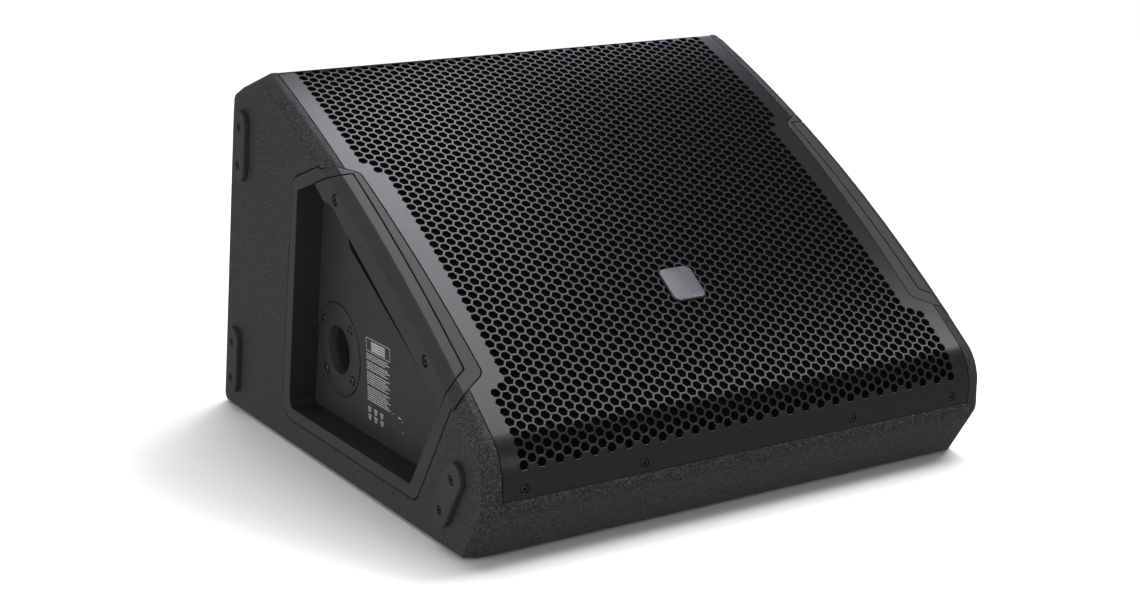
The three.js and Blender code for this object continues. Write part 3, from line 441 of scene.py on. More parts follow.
def stack(lift, levels, lines=()):
    """A closed solid from (height, loops) levels, top first. Its loops keep their number of points."""
    flat, faces, sources = filled(levels[0][1], lines)
    rim = sorted(rim_of(faces))
    on_rim = sorted({v for edge in rim for v in edge})
    used = sorted({v for face in faces for v in face})
    points, floors = [], []
    for height, loops in levels:
        spots = [spot for loop in loops for spot in loop]
        ends = len(floors) in (0, len(levels) - 1)
        chosen = used if ends else on_rim
        floors.append({v: len(points) + i for i, v in enumerate(chosen)})
        for v in chosen:
            spot = spots[sources[v]] if sources[v] < len(spots) else flat[v]
            points.append(lift(spot.x, spot.y, height))
    out = [[floors[0][v] for v in face] for face in faces]
    out += [[floors[-1][v] for v in reversed(face)] for face in faces]
    for upper, lower in zip(floors, floors[1:]):
        out += [[upper[b], upper[a], lower[a], lower[b]] for a, b in rim]
    return points, out


def rounded(corners, steps=6):
    """A polygon with rounded corners from (x, y, radius)."""
    out = []
    for i, (x, y, radius) in enumerate(corners):
        here = Vector((x, y))
        before = (Vector(corners[i - 1][:2]) - here).normalized()
        after = (Vector(corners[(i + 1) % len(corners)][:2]) - here).normalized()
        if radius <= 0:
            out.append(here)
            continue
        half = math.acos(max(-1, min(1, before.dot(after)))) / 2
        centre = here + (before + after).normalized() * (radius / math.sin(half))
        enter, leave = (here + side * (radius / math.tan(half)) - centre for side in (before, after))
        start = math.atan2(enter.y, enter.x)
        sweep = (math.atan2(leave.y, leave.x) - start + math.pi) % (2 * math.pi) - math.pi
        out += [centre + on_circle(start + sweep * k / steps, radius) for k in range(steps + 1)]
    return out


def divided(loop, longest):
    """The same outline with its long edges cut into equal parts, so that it can follow a bow."""
    out = []
    for a, b in zip(loop, [*loop[1:], loop[0]]):
        parts = max(1, round((b - a).length / longest))
        out += [a.lerp(b, k / parts) for k in range(parts)]
    return out


def on_circle(angle, radius=1.0):
    return Vector((radius * math.cos(angle), radius * math.sin(angle)))


def circle(x, y, radius, steps=32):
    return [Vector((x, y)) + on_circle(2 * math.pi * k / steps, radius) for k in range(steps)]


def rounded_box(half_x, half_y, radius, centre=(0, 0)):
    x, y = centre
    return rounded([
        (x - half_x, y - half_y, radius), (x + half_x, y - half_y, radius),
        (x + half_x, y + half_y, radius), (x - half_x, y + half_y, radius),
    ], 8)


# ---------------------------------------------------------------- CAD nodes with eased edges
JOINT = 0.35                         # closes the hairline between boards that are painted over together
NECK = Vector((15.4, 257.8)) * MM    # (y, z) of the thin neck of board above a hand recess
NECK_REACH = 3 * MM
OUTER_X = 228 * MM                   # a side panel's rounded edges lie further out than this
FOOT_OF_PANEL = 12 * MM              # and higher than this


def outer_edge(edge):
    """Whether a side panel's edge is rounded: the outer face's are, but for the floor's and the neck's."""
    ends = [vert.co for vert in edge.verts]
    neck = all((end.yz - NECK).length < NECK_REACH for end in ends)
    return not neck and all(abs(end.x) > OUTER_X and end.z > FOOT_OF_PANEL for end in ends)


def eased(node, width_mm, body="cabinet", segments=2, where=None, reach=()):
    """A copy of a CAD node with its flats merged and its edges rounded, standing for the node.

    where picks the edges; reach lists end faces, as (axis, 0 low or 1 high), moved out to the next board.
    """
    mesh = frame["nodes"][node].data.copy()
    bm = bmesh.new()
    bm.from_mesh(mesh)
    bmesh.ops.remove_doubles(bm, verts=bm.verts, dist=0.02 * MM)
    bmesh.ops.dissolve_limit(bm, angle_limit=math.radians(1.0), verts=bm.verts, edges=bm.edges)
    for axis, end in reach:
        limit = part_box(node)[end][axis]
        for vert in bm.verts:
            if abs(vert.co[axis] - limit) < 0.1 * MM:
                vert.co[axis] += (JOINT if end else -JOINT) * MM
    if where:
        weight = bm.edges.layers.float.new("bevel_weight_edge")
        for edge in bm.edges:
            sharp = edge.is_manifold and edge.calc_face_angle() > math.radians(CREASE)
            edge[weight] = float(sharp and where(edge))
    bm.to_mesh(mesh)
    bm.free()
    piece = dressed(f"{node}_finish", mesh, slots[node], body, None, [node], CREASE)
    if width_mm:
        bevel = piece.modifiers.new("edges", "BEVEL")
        bevel.width = width_mm * MM
        bevel.segments = segments
        bevel.limit_method = "WEIGHT" if where else "ANGLE"
        bevel.angle_limit = math.radians(CREASE)
        bevel.use_clamp_overlap = False
        bevel.miter_outer = "MITER_ARC"
    shading = piece.modifiers.new("shading", "WEIGHTED_NORMAL")
    shading.keep_sharp = True
    return piece


def carried_over():
    """Every CAD node gets its slot's look; the ones with broad visible edges also get eased ones."""
    for node, slot in slots.items():
        shown = frame["nodes"][node].data
        shown.materials.clear()
        shown.materials.append(looks[slot])
        shown.polygons.foreach_set("use_smooth", [True] * len(shown.polygons))
        shown.set_sharp_from_angle(angle=math.radians(CREASE))
    for side in ("left", "right"):
        eased(f"{side}_side_panel", 1.1, segments=3, where=outer_edge)
        eased(f"{side}_tray", 0.45)
        eased(f"{side}_handle", 0.6)
    sideways, down = [(0, 0), (0, 1)], [(2, 0)]
    eased("back_panel", 0, reach=sideways + down)
    eased("bottom_panel", 0, reach=sideways)
    eased("top_rail", 0, reach=sideways)
    eased("nose_rail", 0, reach=sideways + down)
    for node in ("amp_plate", "mains_inlet", "input_socket", "link_socket"):
        eased(node, 0.35)
    for node in ("magnet", "top_plate", "pole_piece", "hf_driver", "transformer", "woofer_basket"):
        eased(node, 0.6)
    eased("power_rocker", 0.5, "rocker")
    eased("mode_button", 0.3, "button")
    eased("input_latch", 0.3, "latch")
    eased("damping_pad", 5, segments=4)


# ---------------------------------------------------------------- perforated grille
PITCH = 8.75
COLUMN = PITCH * math.sqrt(3) / 2
HOLE_FLAT = 3.42                     # half the hole's width across its flats
EASED = 0.28
BORDER = 16.5                        # least distance from a hole's middle to the sheet's edge
FIRST_ROW = -36.5
LAST_ROW = 14.5
LAST_COLUMN = 28
NOTCH = [(262, -193), (207, -156.4), (213.6, 64), (262, 96.5)]
NOTCH_SEAM = 0.8
NOTCH_ROUND = 9.8
BADGE_ARC = -4.6
SCREW_HOLE = 3.6


def distance_to(point, a, b):
    a, b = Vector(a), Vector(b)
    along = max(0, min(1, (point - a).dot(b - a) / (b - a).length_squared))
    return (point - a - (b - a) * along).length


def sheet_outline(notch, arc_top, arc_low, seam=NOTCH_SEAM, inset=0.0):
    """The sheet's outline as (x, arc): a rectangle with a notch for the hand recess in each side."""
    half = HALF_SHEET - inset

    def at_side(inner, outer, away):
        share = (half - inner[0]) / (outer[0] - inner[0])
        return inner[1] + share * (outer[1] - inner[1]) + away

    low, high = notch[1], notch[2]
    right = [
        (half, arc_low, 1.5),
        (half, at_side(low, notch[0], seam), 0),
        (low[0] - seam, low[1] + seam * 0.6, NOTCH_ROUND),
        (high[0] - seam, high[1] - seam * 0.6, NOTCH_ROUND),
        (half, at_side(high, notch[3], -seam), 0),
        (half, arc_top, 0),
    ]
    return divided(rounded([(-x, arc, radius) for x, arc, radius in right] + right[::-1]), 2.5)


def hole_centres(notch):
    """Middles of the hexagonal holes, in staggered columns, clear of the sheet's edge."""
    for column in range(-LAST_COLUMN, LAST_COLUMN + 1):
        for half_row in range(int(2 * FIRST_ROW), int(2 * LAST_ROW) + 1):
            middle = Vector((column * COLUMN, half_row / 2 * PITCH))
            side = Vector((abs(middle.x), middle.y))
            clear = min(distance_to(side, notch[i], notch[i + 1]) for i in range(3))
            if (column + half_row) % 2 or min(clear, HALF_SHEET - side.x) < BORDER:
                continue
            yield middle


def grille_piece():
    notch = [(x, arc_of_slope(up)) for x, up in NOTCH]
    arc_top = ARC_FOLD - FOLD_RADIUS * math.pi / 2 - 6
    arc_low = ARC_UPRIGHT + bend_centre[1] - LIP_LOW
    screw_arc = arc_low - (middle_of("grille_screw_1").z / MM - LIP_LOW)
    corners = [on_circle(k * math.pi / 3) / math.cos(math.pi / 6) for k in range(6)]
    middles = list(hole_centres(notch))

    def loops(hole_flat, spare):
        return [
            outline,
            *([middle + corner * hole_flat for corner in corners] for middle in middles),
            *(circle(across, screw_arc, SCREW_HOLE + spare, 24) for across in screws_at),
        ]

    outline = sheet_outline(notch, arc_top, arc_low)
    screws_at = [middle_of(f"grille_screw_{i}").x / MM for i in range(1, 5)]
    fold = [ARC_FOLD - k * 1.1 for k in range(8)]
    bends = [ARC_BEND + k * 2.2 for k in range(18)]
    inside = HALF_SHEET - 0.4
    lines = [((side * 208, arc), (side * inside, arc)) for side in (-1, 1) for arc in fold[:3] + bends]
    lines += [((-inside, arc), (inside, arc)) for arc in fold[3:]]
    levels = [
        (0, loops(HOLE_FLAT + EASED, EASED)),
        (-EASED, loops(HOLE_FLAT, 0)),
        (-SHEET, loops(HOLE_FLAT, 0)),
    ]
    sheet = stack(lambda x, arc, height: on_front(x, arc, -height), levels, lines)
    new_piece("grille_sheet", sheet, "black_steel", replaces=["grille"], smooth=28)

    # a cloth lining behind the sheet, coloured nearly black with almost no shine: painted shade, so the holes
    # show as dark as the shadow inside the cabinet
    cloth = sheet_outline(notch, ARC_FOLD + 4, arc_low - 14, 6, 7)
    bowed = [ARC_FOLD + PITCH * k for k in range(1, 48)]
    across = [((-HALF_SHEET, arc), (HALF_SHEET, arc)) for arc in bowed + bends]
    hole_shade_sheet = stack(lambda x, arc, height: on_front(x, arc, -height), [
        (-SHEET - 0.05, [cloth]), (-SHEET - 0.22, [cloth]),
    ], across)
    black = cloth_look("shade_lining_cloth", (0.0022, 0.0022, 0.0022), 1100, 0.01)
    new_piece("grille_shade_cloth", hole_shade_sheet, "foam", material=black)


def badge_pieces():
    """The blank badge plate and the pad it stands on, over the perforation; the pad's near-black rim round
    the plate is a painted shadow gap.
    """
    turn = turn_at(BADGE_ARC)
    place = facing(on_front(0, BADGE_ARC), (0, -math.sin(turn), math.cos(turn)), (0, -1, 0))

    def tile(half_x, half_y, radius, levels):
        return stack(planar(place), [
            (height, [rounded_box(half_x - inset, half_y - inset, radius - inset * 0.8)])
            for height, inset in levels
        ])

    plate = tile(15, 16.5, 5.2, [(1.55, 0.5), (1.45, 0.18), (1.25, 0), (0.95, 0), (0.8, 0.15)])
    new_piece("badge_plate", plate, "moulded_plastic", material=badge_look(), replaces=["badge"])
    # the pad is a base under the plate, and its near-black rim, 1.1 mm wide all round, is painted shadow
    pad = tile(16.1, 17.6, 5.8, [(0.85, 0.5), (0.6, 0), (-0.3, 0)])
    new_piece("badge_shadow_pad", pad, "moulded_plastic", material=plastic_look("badge_shadow_pad", 0.003, (0.6, 0.8)))


# ---------------------------------------------------------------- screws
DOME = [(0, 0.72, 1.0), (0.03, 0.82, 0.98), (0.1, 0.92, 0.94), (0.22, 0.985, 0.88), (0.34, 1.0, 0.82)]
RIB = 0.6                            # half the pitch of a shank's ribs
HANDLE_SCREW_X = 236.3
POLE_SCREW_ANGLES = (40, 137, 219, 318)
POLE_SCREW_CIRCLE = 33
PLATE_SCREW_INSET = 5.5
DRIVER_SCREW_CIRCLE = 147.5


def star(reach):
    """The outline of a recess with six lobes."""
    angles = [2 * math.pi * k / 36 for k in range(36)]
    return [on_circle(angle, reach * (1 + 0.17 * math.cos(6 * angle))) for angle in angles]


def plus(reach, width):
    half, soft = width / 2, width * 0.2
    arm = [(reach, -half * 0.7), (reach, half * 0.7), (half + soft, half), (half, half + soft)]
    return [Matrix.Rotation(k * math.pi / 2, 2) @ Vector(corner) for k in range(4) for corner in arm]


def screw(name, origin, outward, radius, height, recess="star", shank=12.0, spin=0.0, replaces=()):
    """A screw whose head stands on a point given in metres, with a domed rim, a recess and a ribbed shank.

    DOME lists (drop, width, the recess's width) as shares of the head's radius.
    """
    place = facing(origin, outward) @ Matrix.Rotation(spin, 4, "Z")
    cut = star(radius * 0.47) if recess == "star" else plus(radius * 0.58, radius * 0.3)
    rim = circle(0, 0, radius, 36)
    levels = [
        (height - drop * radius, [[p * wide for p in rim], [p * deep for p in cut]])
        for drop, wide, deep in DOME
    ]
    levels.append((0, [rim, [p * 0.45 for p in cut]]))
    head = stack(planar(place), levels)
    thin = radius * 0.44
    ribs = [(thin + (0.3 if k % 2 else 0), -RIB * k) for k in range(int(shank / RIB))]
    tip = [(thin * 0.4, -shank - thin), (0, -shank - thin * 1.3)]
    shank_shape = turned([(0, -0.01), *ribs, *tip], place, 14)
    new_piece(name, merged(head, shank_shape), "black_screw", replaces=replaces, smooth=38)


def all_screws():
    for i in range(1, 5):
        node = f"grille_screw_{i}"
        at = middle_of(node)
        at.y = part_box(node)[0][1] + 1.9 * MM
        screw(f"{node}_detail", at, (0, -1, 0), 3.2, 1.8, shank=16, spin=i, replaces=[node])
    for side, sign in (("left", -1), ("right", 1)):
        for i in (1, 2):
            node = f"{side}_handle_screw_{i}"
            at = middle_of(node)
            at.x = sign * HANDLE_SCREW_X * MM
            screw(f"{node}_detail", at, (sign, 0, 0), 3.9, 2.1, shank=18, spin=0.4 * i, replaces=[node])
    pole = middle_of("pole_socket")
    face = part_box("pole_socket")[0][0]
    for k, angle in enumerate(POLE_SCREW_ANGLES):
        spot = on_circle(math.radians(angle), POLE_SCREW_CIRCLE * MM)
        at = (face, pole.y + spot.x, pole.z + spot.y)
        screw(f"pole_screw_{k + 1}", at, (-1, 0, 0), 4.1, 1.5, "plus", 10, 0.5 * k)
    low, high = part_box("amp_plate")
    inset = PLATE_SCREW_INSET * MM
    left, right, below, above = low[1] + inset, high[1] - inset, low[2] + inset, high[2] - inset
    for k, (y, z) in enumerate(((left, below), (right, below), (right, above), (left, above))):
        screw(f"plate_screw_{k + 1}", (high[0], y, z), (1, 0, 0), 3.0, 1.3, "plus", 8, 0.7 * k)
    small_panel_screws()
    for i in range(1, 5):
        at = middle_of(f"base_foot_{i}")
        at.z = 1.2 * MM
        screw(f"base_foot_screw_{i}", at, (0, 0, -1), 3.3, 0.9, "plus", 9, 0.6 * i)
    for k in range(8):
        spot = on_circle(math.radians(22.5 + 45 * k), DRIVER_SCREW_CIRCLE)
        at = driver @ (Vector((*spot, 5)) * MM)
        screw(f"driver_screw_{k + 1}", at, OUTWARD, 4.4, 2.2, "plus", 16, 0.3 * k)


def small_panel_screws():
    """Two little screws in the flange of the inlet and of each signal socket."""
    inlet = middle_of("mains_inlet")
    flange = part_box("mains_inlet")[1][0]
    for k, away in enumerate((-28.4, 28.4)):
        at = (flange, inlet.y + away * MM, inlet.z)
        screw(f"inlet_screw_{k + 1}", at, (1, 0, 0), 1.7, 0.8, "plus", 6, 0.5 + k)
    for socket in ("input_socket", "link_socket"):
        middle = middle_of(socket)
        for k, sign in enumerate((-1, 1)):
            at = (flange, middle.y + sign * 10.2 * MM, middle.z - sign * 12.7 * MM)
            screw(f"{socket}_screw_{k + 1}", at, (1, 0, 0), 1.7, 0.8, "plus", 6, 1.1 + k)


# ---------------------------------------------------------------- rubber feet and pole socket
FOOT_RADIUS = 11.5
FOOT_STRAIGHT = 20.75                # half the length of its straight sides
FOOT_SCREWS = 17.7                   # from its middle to each screw
FOOT_HIGH = 4.9
FOOT_HOLE = 3.9
FOOT_LEANS = (10.9, 10.9, 33.3)      # degrees, one for each place
FOOT_BACK_X = 239.3                  # where its back lies


def foot_outline(inset):
    ends = ((FOOT_STRAIGHT, 0), (-FOOT_STRAIGHT, math.pi))
    return [Vector((0, y)) + on_circle(start + math.pi * k / 16, FOOT_RADIUS - inset)
            for y, start in ends for k in range(17)]


def side_feet():
    """Long pads with a rolled edge, each held by two sunk screws."""
    rolled = [
        (FOOT_HIGH, 1.3, 0.4), (4.84, 0.8, 0.12), (4.62, 0.38, 0), (4.25, 0.1, 0), (3.8, 0, 0), (1.1, 0, 0),
        (0.95, 0.35, 0), (0.6, 0.35, 0), (0.45, 0, 0), (0, 0, 0),
    ]
    levels = []
    for height, inset, wider in rolled:
        holes = [circle(0, y, FOOT_HOLE + wider, 24) for y in (FOOT_SCREWS, -FOOT_SCREWS)]
        levels.append((height, [foot_outline(inset), *holes]))
    for side, sign in (("left", -1), ("right", 1)):
        for i, lean in enumerate(FOOT_LEANS):
            node = f"side_foot_{side}_{i + 1}"
            at = middle_of(node)
            at.x = sign * FOOT_BACK_X * MM
            place = facing(at, (sign, 0, 0)) @ Matrix.Rotation(sign * math.radians(lean), 4, "Z")
            new_piece(f"{node}_pad", stack(planar(place), levels), "rubber", replaces=[node], smooth=40)
            for k, y in enumerate((FOOT_SCREWS, -FOOT_SCREWS)):
                spot = place @ (Vector((0, y, FOOT_HIGH - 2.7)) * MM)
                screw(f"{node}_screw_{k + 1}", spot, (sign, 0, 0), 3.5, 2.0, spin=i + k)


def base_feet():
    profile = [
        (3.5, 1.2), (3.6, 0.5), (4.3, 0.05), (12.8, 0.0), (13.6, 0.25), (14.2, 0.9), (14.9, 2.5), (15, 2.7),
        (0, 2.7), (0, 1.2),
    ]
    for i in range(1, 5):
        at = middle_of(f"base_foot_{i}")
        at.z = 0
        foot = turned(profile, facing(at, (0, 0, 1)), 48)
        new_piece(f"base_foot_{i}_pad", foot, "rubber", replaces=[f"base_foot_{i}"], smooth=40)


def pole_socket_piece():
    """The flanged tube for a stand pole, with a rolled mouth; its flange is let into the panel."""
    at = middle_of("pole_socket")
    at.x = PANEL_X * MM
    profile = [
        (0, -78), (21.6, -78), (21.6, -0.9), (40.2, -0.9), (40.2, -0.2), (40.05, 0.2), (39.7, 0.4),
        (21.4, 0.4), (20.9, 0.2), (20.6, -0.3), (18.7, -5.2), (18.4, -6.2), (18.25, -7.5), (18.25, -75),
        (0, -75),
    ]
    tube = turned(profile, facing(at, (-1, 0, 0)), 96)
    new_piece("pole_socket_tube", tube, "moulded_plastic", replaces=["pole_socket"], smooth=32)


# ---------------------------------------------------------------- printed lines, all plain
INK_HIGH = 0.12
INK_SUNK = -0.05
PRINT_PLACE = (PANEL_X * MM, -9 * MM, 119.5 * MM)
DIAL_START = -150                    # degrees from the upright to the last tick
DIAL_STEP = 30
FRAME_GAP = 2


def bars(place, marks):
    """Thin printed rectangles from (x, y, width, height) in millimetres, with clipped corners."""
    shapes = []
    for x, y, width, height in marks:
        clip = min(width, height) * 0.2
        outline = rounded([
            (x, y, clip), (x + width, y, clip), (x + width, y + height, clip), (x, y + height, clip),
        ], 1)
        shapes.append(stack(planar(place), [(INK_HIGH, [outline]), (INK_SUNK, [outline])]))
    return merged(*shapes)


def recess_print():
    """A frame, rows of hairlines and groups of short bars on the left recess panel, with nothing to read."""
    place = facing(PRINT_PLACE, (-1, 0, 0))
    marks = [(0, -0.5, 43, 0.5), (0, -11.5, 43, 0.5), (0, -11.5, 0.5, 11.5), (42.5, -11.5, 0.5, 11.5)]
    marks += [(9, -10 + 2.1 * k, 25, 1.5) for k in range(4)]
    down, row = -14.5, 0
    for rows in (3, 4, 6, 7):
        for _ in range(rows):
            length, at = 38 + 4 * math.sin(row * 2.1), 0.0
            while at < length:
                word = 3.2 + 2.1 * math.sin(at * 1.3 + row)
                marks.append((at, down, min(word, length - at), 0.85))
                at += word + 0.7
            down -= 1.85
            row += 1
        down -= 1.3
    marks += [
        (11 * k + 0.6 * line, down - 3.6 - 6.5 * tier - 1.7 * line, 6.3 - 1.2 * line, 0.9)
        for k in range(3) for tier in range(2) for line in range(3)
    ]
    marks += [(x, down + y, 1, 1) for x, y in ((46, 3), (46, -7), (62, 0), (62, -9))]
    marks.append((55, down + 2, 4.5, 1.1))
    ink = plastic_look("print_ink", 0.30, (0.5, 0.6))
    new_piece("recess_print", bars(place, marks), "moulded_plastic", material=ink)


def plate_print():
    """Dial ticks round the level knob and a frame line round each socket."""
    knob = middle_of("level_knob")
    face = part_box("amp_plate")[1][0]
    shapes = []
    dial = facing((face, knob.y, knob.z), (1, 0, 0))
    for k in range(11):
        place = dial @ Matrix.Rotation(math.radians(DIAL_START + DIAL_STEP * k), 4, "Z")
        shapes.append(bars(place, [(-0.3, 11.6, 0.6, 2.4 if k % 5 == 0 else 1.6)]))
    for node in ("input_socket", "link_socket", "mains_inlet"):
        low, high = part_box(node)
        half_y, half_z = ((high[i] - low[i]) / 2 / MM + FRAME_GAP for i in (1, 2))
        place = facing((face, *middle_of(node)[1:]), (1, 0, 0))
        loops = [rounded_box(half_y, half_z, 4), rounded_box(half_y - 0.4, half_z - 0.4, 3.6)]
        shapes.append(stack(planar(place), [(INK_HIGH, loops), (INK_SUNK, loops)]))
    ink = plastic_look("plate_ink", 0.42, (0.5, 0.6))
    new_piece("plate_print", merged(*shapes), "black_steel", material=ink)


# ---------------------------------------------------------------- controls and sockets in the right recess
SOCKET_FLOOR_X = 201.4
INLET_FLOOR = (200, 52)              # (x, y) under the inlet's middle pin


def level_knob():
    at = middle_of("level_knob")
    at.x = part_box("amp_plate")[1][0]
    place = facing(at, (1, 0, 0))

    def section(radius, ripple):
        angles = [2 * math.pi * k / 108 for k in range(108)]
        return [on_circle(angle, radius + ripple * abs(math.cos(9 * angle))) for angle in angles]

    levels = [
        (15.2, 6.2, 0), (15.1, 6.8, 0), (14.6, 7.3, 0.15), (5.8, 7.9, 0.6), (5.2, 8.3, 0.3), (4.9, 9.4, 0),
        (4.3, 9.9, 0), (1.6, 9.95, 0), (1.4, 9.6, 0),
    ]
    body = stack(planar(place), [(height, [section(radius, ripple)]) for height, radius, ripple in levels])
    new_piece("level_knob_grip", body, "rubber", "knob", replaces=["level_knob"], smooth=38)
    pointer = rounded_box(0.55, 2.6, 0.5, (0, 4.2))
    at_last_tick = place @ Matrix.Rotation(math.radians(DIAL_START), 4, "Z")
    line = stack(planar(at_last_tick), [(15.32, [pointer]), (14.9, [pointer])])
    ink = plastic_look("pointer_ink", 0.6, (0.4, 0.5))
    new_piece("level_knob_pointer", line, "rubber", "knob", material=ink)


def socket_contacts():
    """Metal pins over the CAD's plain ones, and the insert with three contact holes."""
    link = middle_of("link_socket")
    for k in range(3):
        spot = on_circle(math.radians(90 + 120 * k), 5 * MM)
        place = facing((SOCKET_FLOOR_X * MM, link.y + spot.x, link.z + spot.y), (1, 0, 0))
        pin = turned([(0, 0), (1.42, 0), (1.42, 11.2), (1.15, 11.9), (0.6, 12.3), (0, 12.4)], place, 20)
        new_piece(f"link_pin_{k + 1}", pin, "steel", smooth=50)
    inlet = Vector((INLET_FLOOR[0] * MM, INLET_FLOOR[1] * MM, middle_of("mains_inlet").z))
    for k in range(3):
        place = facing(inlet + Vector((0, (k - 1) * 6.5 * MM, 0)), (1, 0, 0))
        blade = stack(planar(place), [
            (11.5, [rounded_box(0.7, 1.6, 0.3)]), (10.6, [rounded_box(1.15, 2.15, 0.3)]),
            (0, [rounded_box(1.15, 2.15, 0.3)]),
        ])
        new_piece(f"inlet_pin_{k + 1}", blade, "steel")
    socket = middle_of("input_socket")
    place = facing((SOCKET_FLOOR_X * MM, socket.y, socket.z), (1, 0, 0))
    holes = [circle(*on_circle(math.radians(-90 + 120 * k), 5), 1.6, 20) for k in range(3)]
    levels = ((1.0, 9.2), (0.7, 9.6), (0, 9.6))
    disc = [(height, [circle(0, 0, radius, 48), *holes]) for height, radius in levels]
    new_piece("input_insert", stack(planar(place), disc), "moulded_plastic")


# ---------------------------------------------------------------- driver, hidden by the foam but complete
driver = facing(MIDDLE + (UP_SLOPE * 20 - OUTWARD * DRIVER_DEPTH) * MM, OUTWARD)
SECTORS = 8


def sectors(node, profile, slot):
    """A ring in equal sectors about the driver's axis, riding on no body; the first sector stands for the
    node.
    """
    sweep = 2 * math.pi / SECTORS
    for k in range(SECTORS):
        shape = turned(profile, driver, 8, sweep, sweep * k)
        stands_for = [node] if k == 0 else ()
        piece = new_piece(f"{node}_{k + 1}", shape, slot, body=None, smooth=40, replaces=stands_for)
        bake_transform(piece)


def skin(line, thick):
    """A closed profile from a line of (radius, height), thickened downwards."""
    return [*line, *((radius, height - thick) for radius, height in reversed(line))]


def driver_pieces():
    angles = [t * math.pi / 12 for t in range(13)]
    roll = [(124 - 6.6 * math.cos(angle), -1.5 + 5.6 * math.sin(angle)) for angle in angles]
    edge = skin([(112, -3.2), (115, -2.4), *roll, (133.3, -1.5)], 1.2)
    sectors("woofer_surround", edge, "rubber")
    waves = [(38.3 + 31.6 * k / 40, -60.4 + 1.9 * math.sin(k * math.pi / 4)) for k in range(41)]
    sectors("spider", skin(waves, 0.8), "cloth")
    ribs = [
        (38.2 + 73.2 * k / 30, -46.2 + 41.6 * (k / 30) ** 1.12 + (0.35 if k % 5 == 2 else 0))
        for k in range(31)
    ]
    cone = turned(skin(ribs, 1.4), driver, 96)
    new_piece("woofer_cone_skin", cone, "paper", "cone", replaces=["woofer_cone"])
    flare = [(17 + 27 * (k / 14) ** 2.2, -77.7 + 53.4 * k / 14) for k in range(15)]
    back = [(radius + 2.4, height - (0.6 if k else 0)) for k, (radius, height) in enumerate(flare)]
    new_piece("hf_horn_flare", turned([*flare, (45.4, -24), *reversed(back)], driver, 96), "moulded_plastic",
              replaces=["hf_horn"])
    for side, x in (("left", -122), ("right", 122)):
        at = MIDDLE + (UP_SLOPE * -140 - OUTWARD * DRIVER_DEPTH) * MM + Vector((x * MM, 0, 0))
        mouth = [
            (34, 0.3), (34, 1.9), (33.2, 2.3), (31.4, 2.1), (29.4, 0.6), (28.2, -1.8), (27.5, -5),
            (27.5, -80), (28.2, -85), (30, -88), (30.4, -86), (30, -82), (30, 0.3),
        ]
        new_piece(f"port_tube_{side}_flare", turned(mouth, facing(at, OUTWARD), 64), "moulded_plastic",
                  replaces=[f"port_tube_{side}"])


slots = {row["node"]: row["material_slot"] for row in frame["record"]["subparts"]}
carried_over()
grille_piece()
badge_pieces()
side_feet()
base_feet()
pole_socket_piece()
driver_pieces()
all_screws()
recess_print()
plate_print()
level_knob()
socket_contacts()


# ---------------------------------------------------------------- studio
FLOOR_HALF = 40
DARK_SKY = (0.7, 0.45, 0.55)         # the side that the slope mirrors towards the camera
SUN_WAY = (-0.33, -0.12, -0.936)
# the camera comes from the same fit: its place, the way it looks, its right-hand side and its lens
CAMERA_AT = (-0.8912, -1.4254, 0.5681)
CAMERA_AHEAD = (0.5063, 0.8222, -0.2601)
CAMERA_ACROSS = (0.8511, -0.5249, -0.0024)
CAMERA_LENS = 63.03


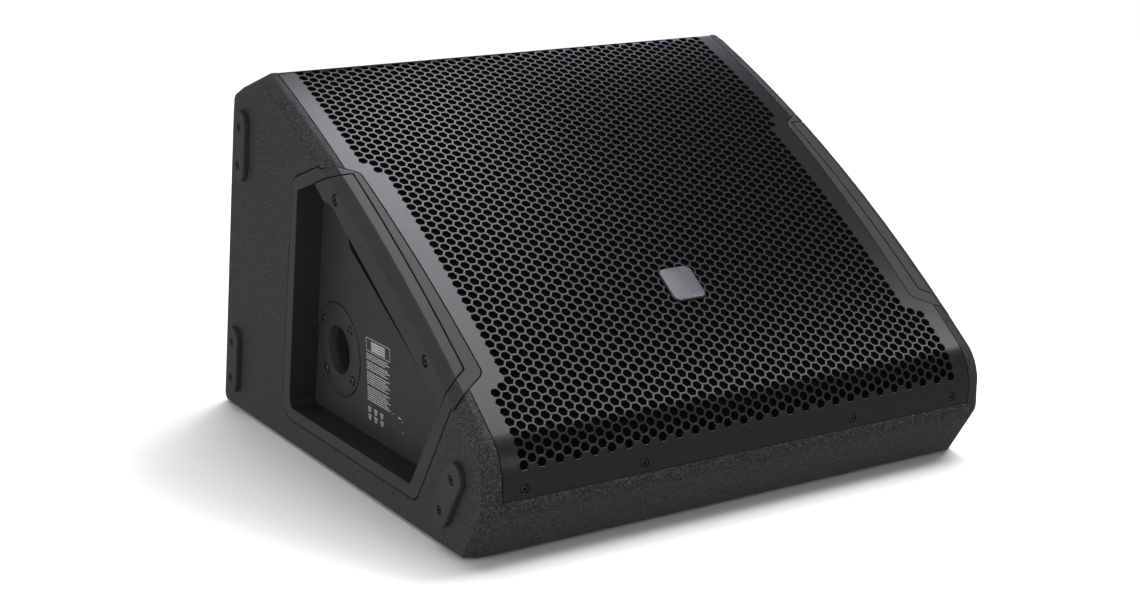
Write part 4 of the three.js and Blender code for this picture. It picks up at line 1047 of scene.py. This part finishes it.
def studio():
    scene = bpy.context.scene
    mesh = bpy.data.meshes.new("studio_floor")
    low, high = -FLOOR_HALF, FLOOR_HALF
    mesh.from_pydata([(low, low, 0), (high, low, 0), (high, high, 0), (low, high, 0)], [], [[0, 1, 2, 3]])
    floor = bpy.data.objects.new("studio_floor", mesh)
    mesh.materials.append(floor_look())
    scene.collection.objects.link(floor)
    floor.visible_glossy = False

    # the camera sees an even white sky; what it lights has a dark side where the slope would mirror it
    world = bpy.data.worlds.new("studio")
    world.use_nodes = True
    nodes, links = world.node_tree.nodes, world.node_tree.links
    toward = nodes.new("ShaderNodeVectorMath")
    toward.operation = "DOT_PRODUCT"
    toward.inputs[1].default_value = Vector(DARK_SKY).normalized()
    links.new(nodes.new("ShaderNodeTexCoord").outputs["Generated"], toward.inputs[0])
    fade = nodes.new("ShaderNodeMapRange")
    for key, value in (("From Min", 0.1), ("From Max", 0.9), ("To Min", 0.42), ("To Max", 0.05)):
        fade.inputs[key].default_value = value
    links.new(toward.outputs["Value"], fade.inputs["Value"])
    seen = nodes.new("ShaderNodeMix")
    links.new(nodes.new("ShaderNodeLightPath").outputs["Is Camera Ray"], seen.inputs["Factor"])
    links.new(fade.outputs["Result"], seen.inputs["A"])
    seen.inputs["B"].default_value = 1.0
    links.new(seen.outputs["Result"], nodes["Background"].inputs["Strength"])
    nodes["Background"].inputs["Color"].default_value = (1, 1, 1, 1)
    scene.world = world

    def soft_light(name, at, target, size, power, tint=(1, 1, 1)):
        light = bpy.data.lights.new(name, "AREA")
        light.shape = "RECTANGLE"
        light.size, light.size_y = size
        light.energy = power
        light.color = tint
        lamp = bpy.data.objects.new(name, light)
        scene.collection.objects.link(lamp)
        lamp.matrix_world = facing(at, Vector(at) - Vector(target), (0, 1, 0))

    sunlight = bpy.data.lights.new("key", "SUN")
    sunlight.energy, sunlight.angle = 3.45, math.radians(60)
    sunlight.color = (0.97, 0.98, 1.0)
    sun = bpy.data.objects.new("key", sunlight)
    scene.collection.objects.link(sun)
    sun.rotation_mode = "QUATERNION"
    sun.rotation_quaternion = Vector(SUN_WAY).to_track_quat("-Z", "Y")
    sun.visible_glossy = False
    soft_light("rim_soft", (1.25, 1.35, 1.55), (0.15, 0.05, 0.3), (0.6, 0.5), 4, (0.88, 0.92, 1.0))
    soft_light("slope_soft", (0.38, 0.17, 1.35), (-0.15, 0, 0.2), (0.34, 1.15), 10.5, (0.95, 0.96, 1.0))
    soft_light("bend_soft", (0.9, -0.5, 1.3), (0.05, -0.2, 0.1), (0.9, 0.25), 7)
    soft_light("front_soft", (0.3, -2.2, 0.9), (0, 0, 0.15), (2.0, 0.6), 6)
    soft_light("left_soft", (-2.3, -0.2, 0.4), (-0.2, 0.05, 0.12), (0.4, 1.6), 23)

    camera = bpy.data.cameras.new("camera")
    camera.lens, camera.sensor_width = CAMERA_LENS, 36
    rig = bpy.data.objects.new("camera", camera)
    scene.collection.objects.link(rig)
    ahead = Vector(CAMERA_AHEAD).normalized()
    across = Vector(CAMERA_ACROSS)
    across = (across - ahead * across.dot(ahead)).normalized()
    up = across.cross(ahead)
    matrix = Matrix((across, up, -ahead)).transposed().to_4x4()
    matrix.translation = Vector(CAMERA_AT)
    rig.matrix_world = matrix
    scene.camera = rig
    scene.view_settings.view_transform = "Standard"


studio()
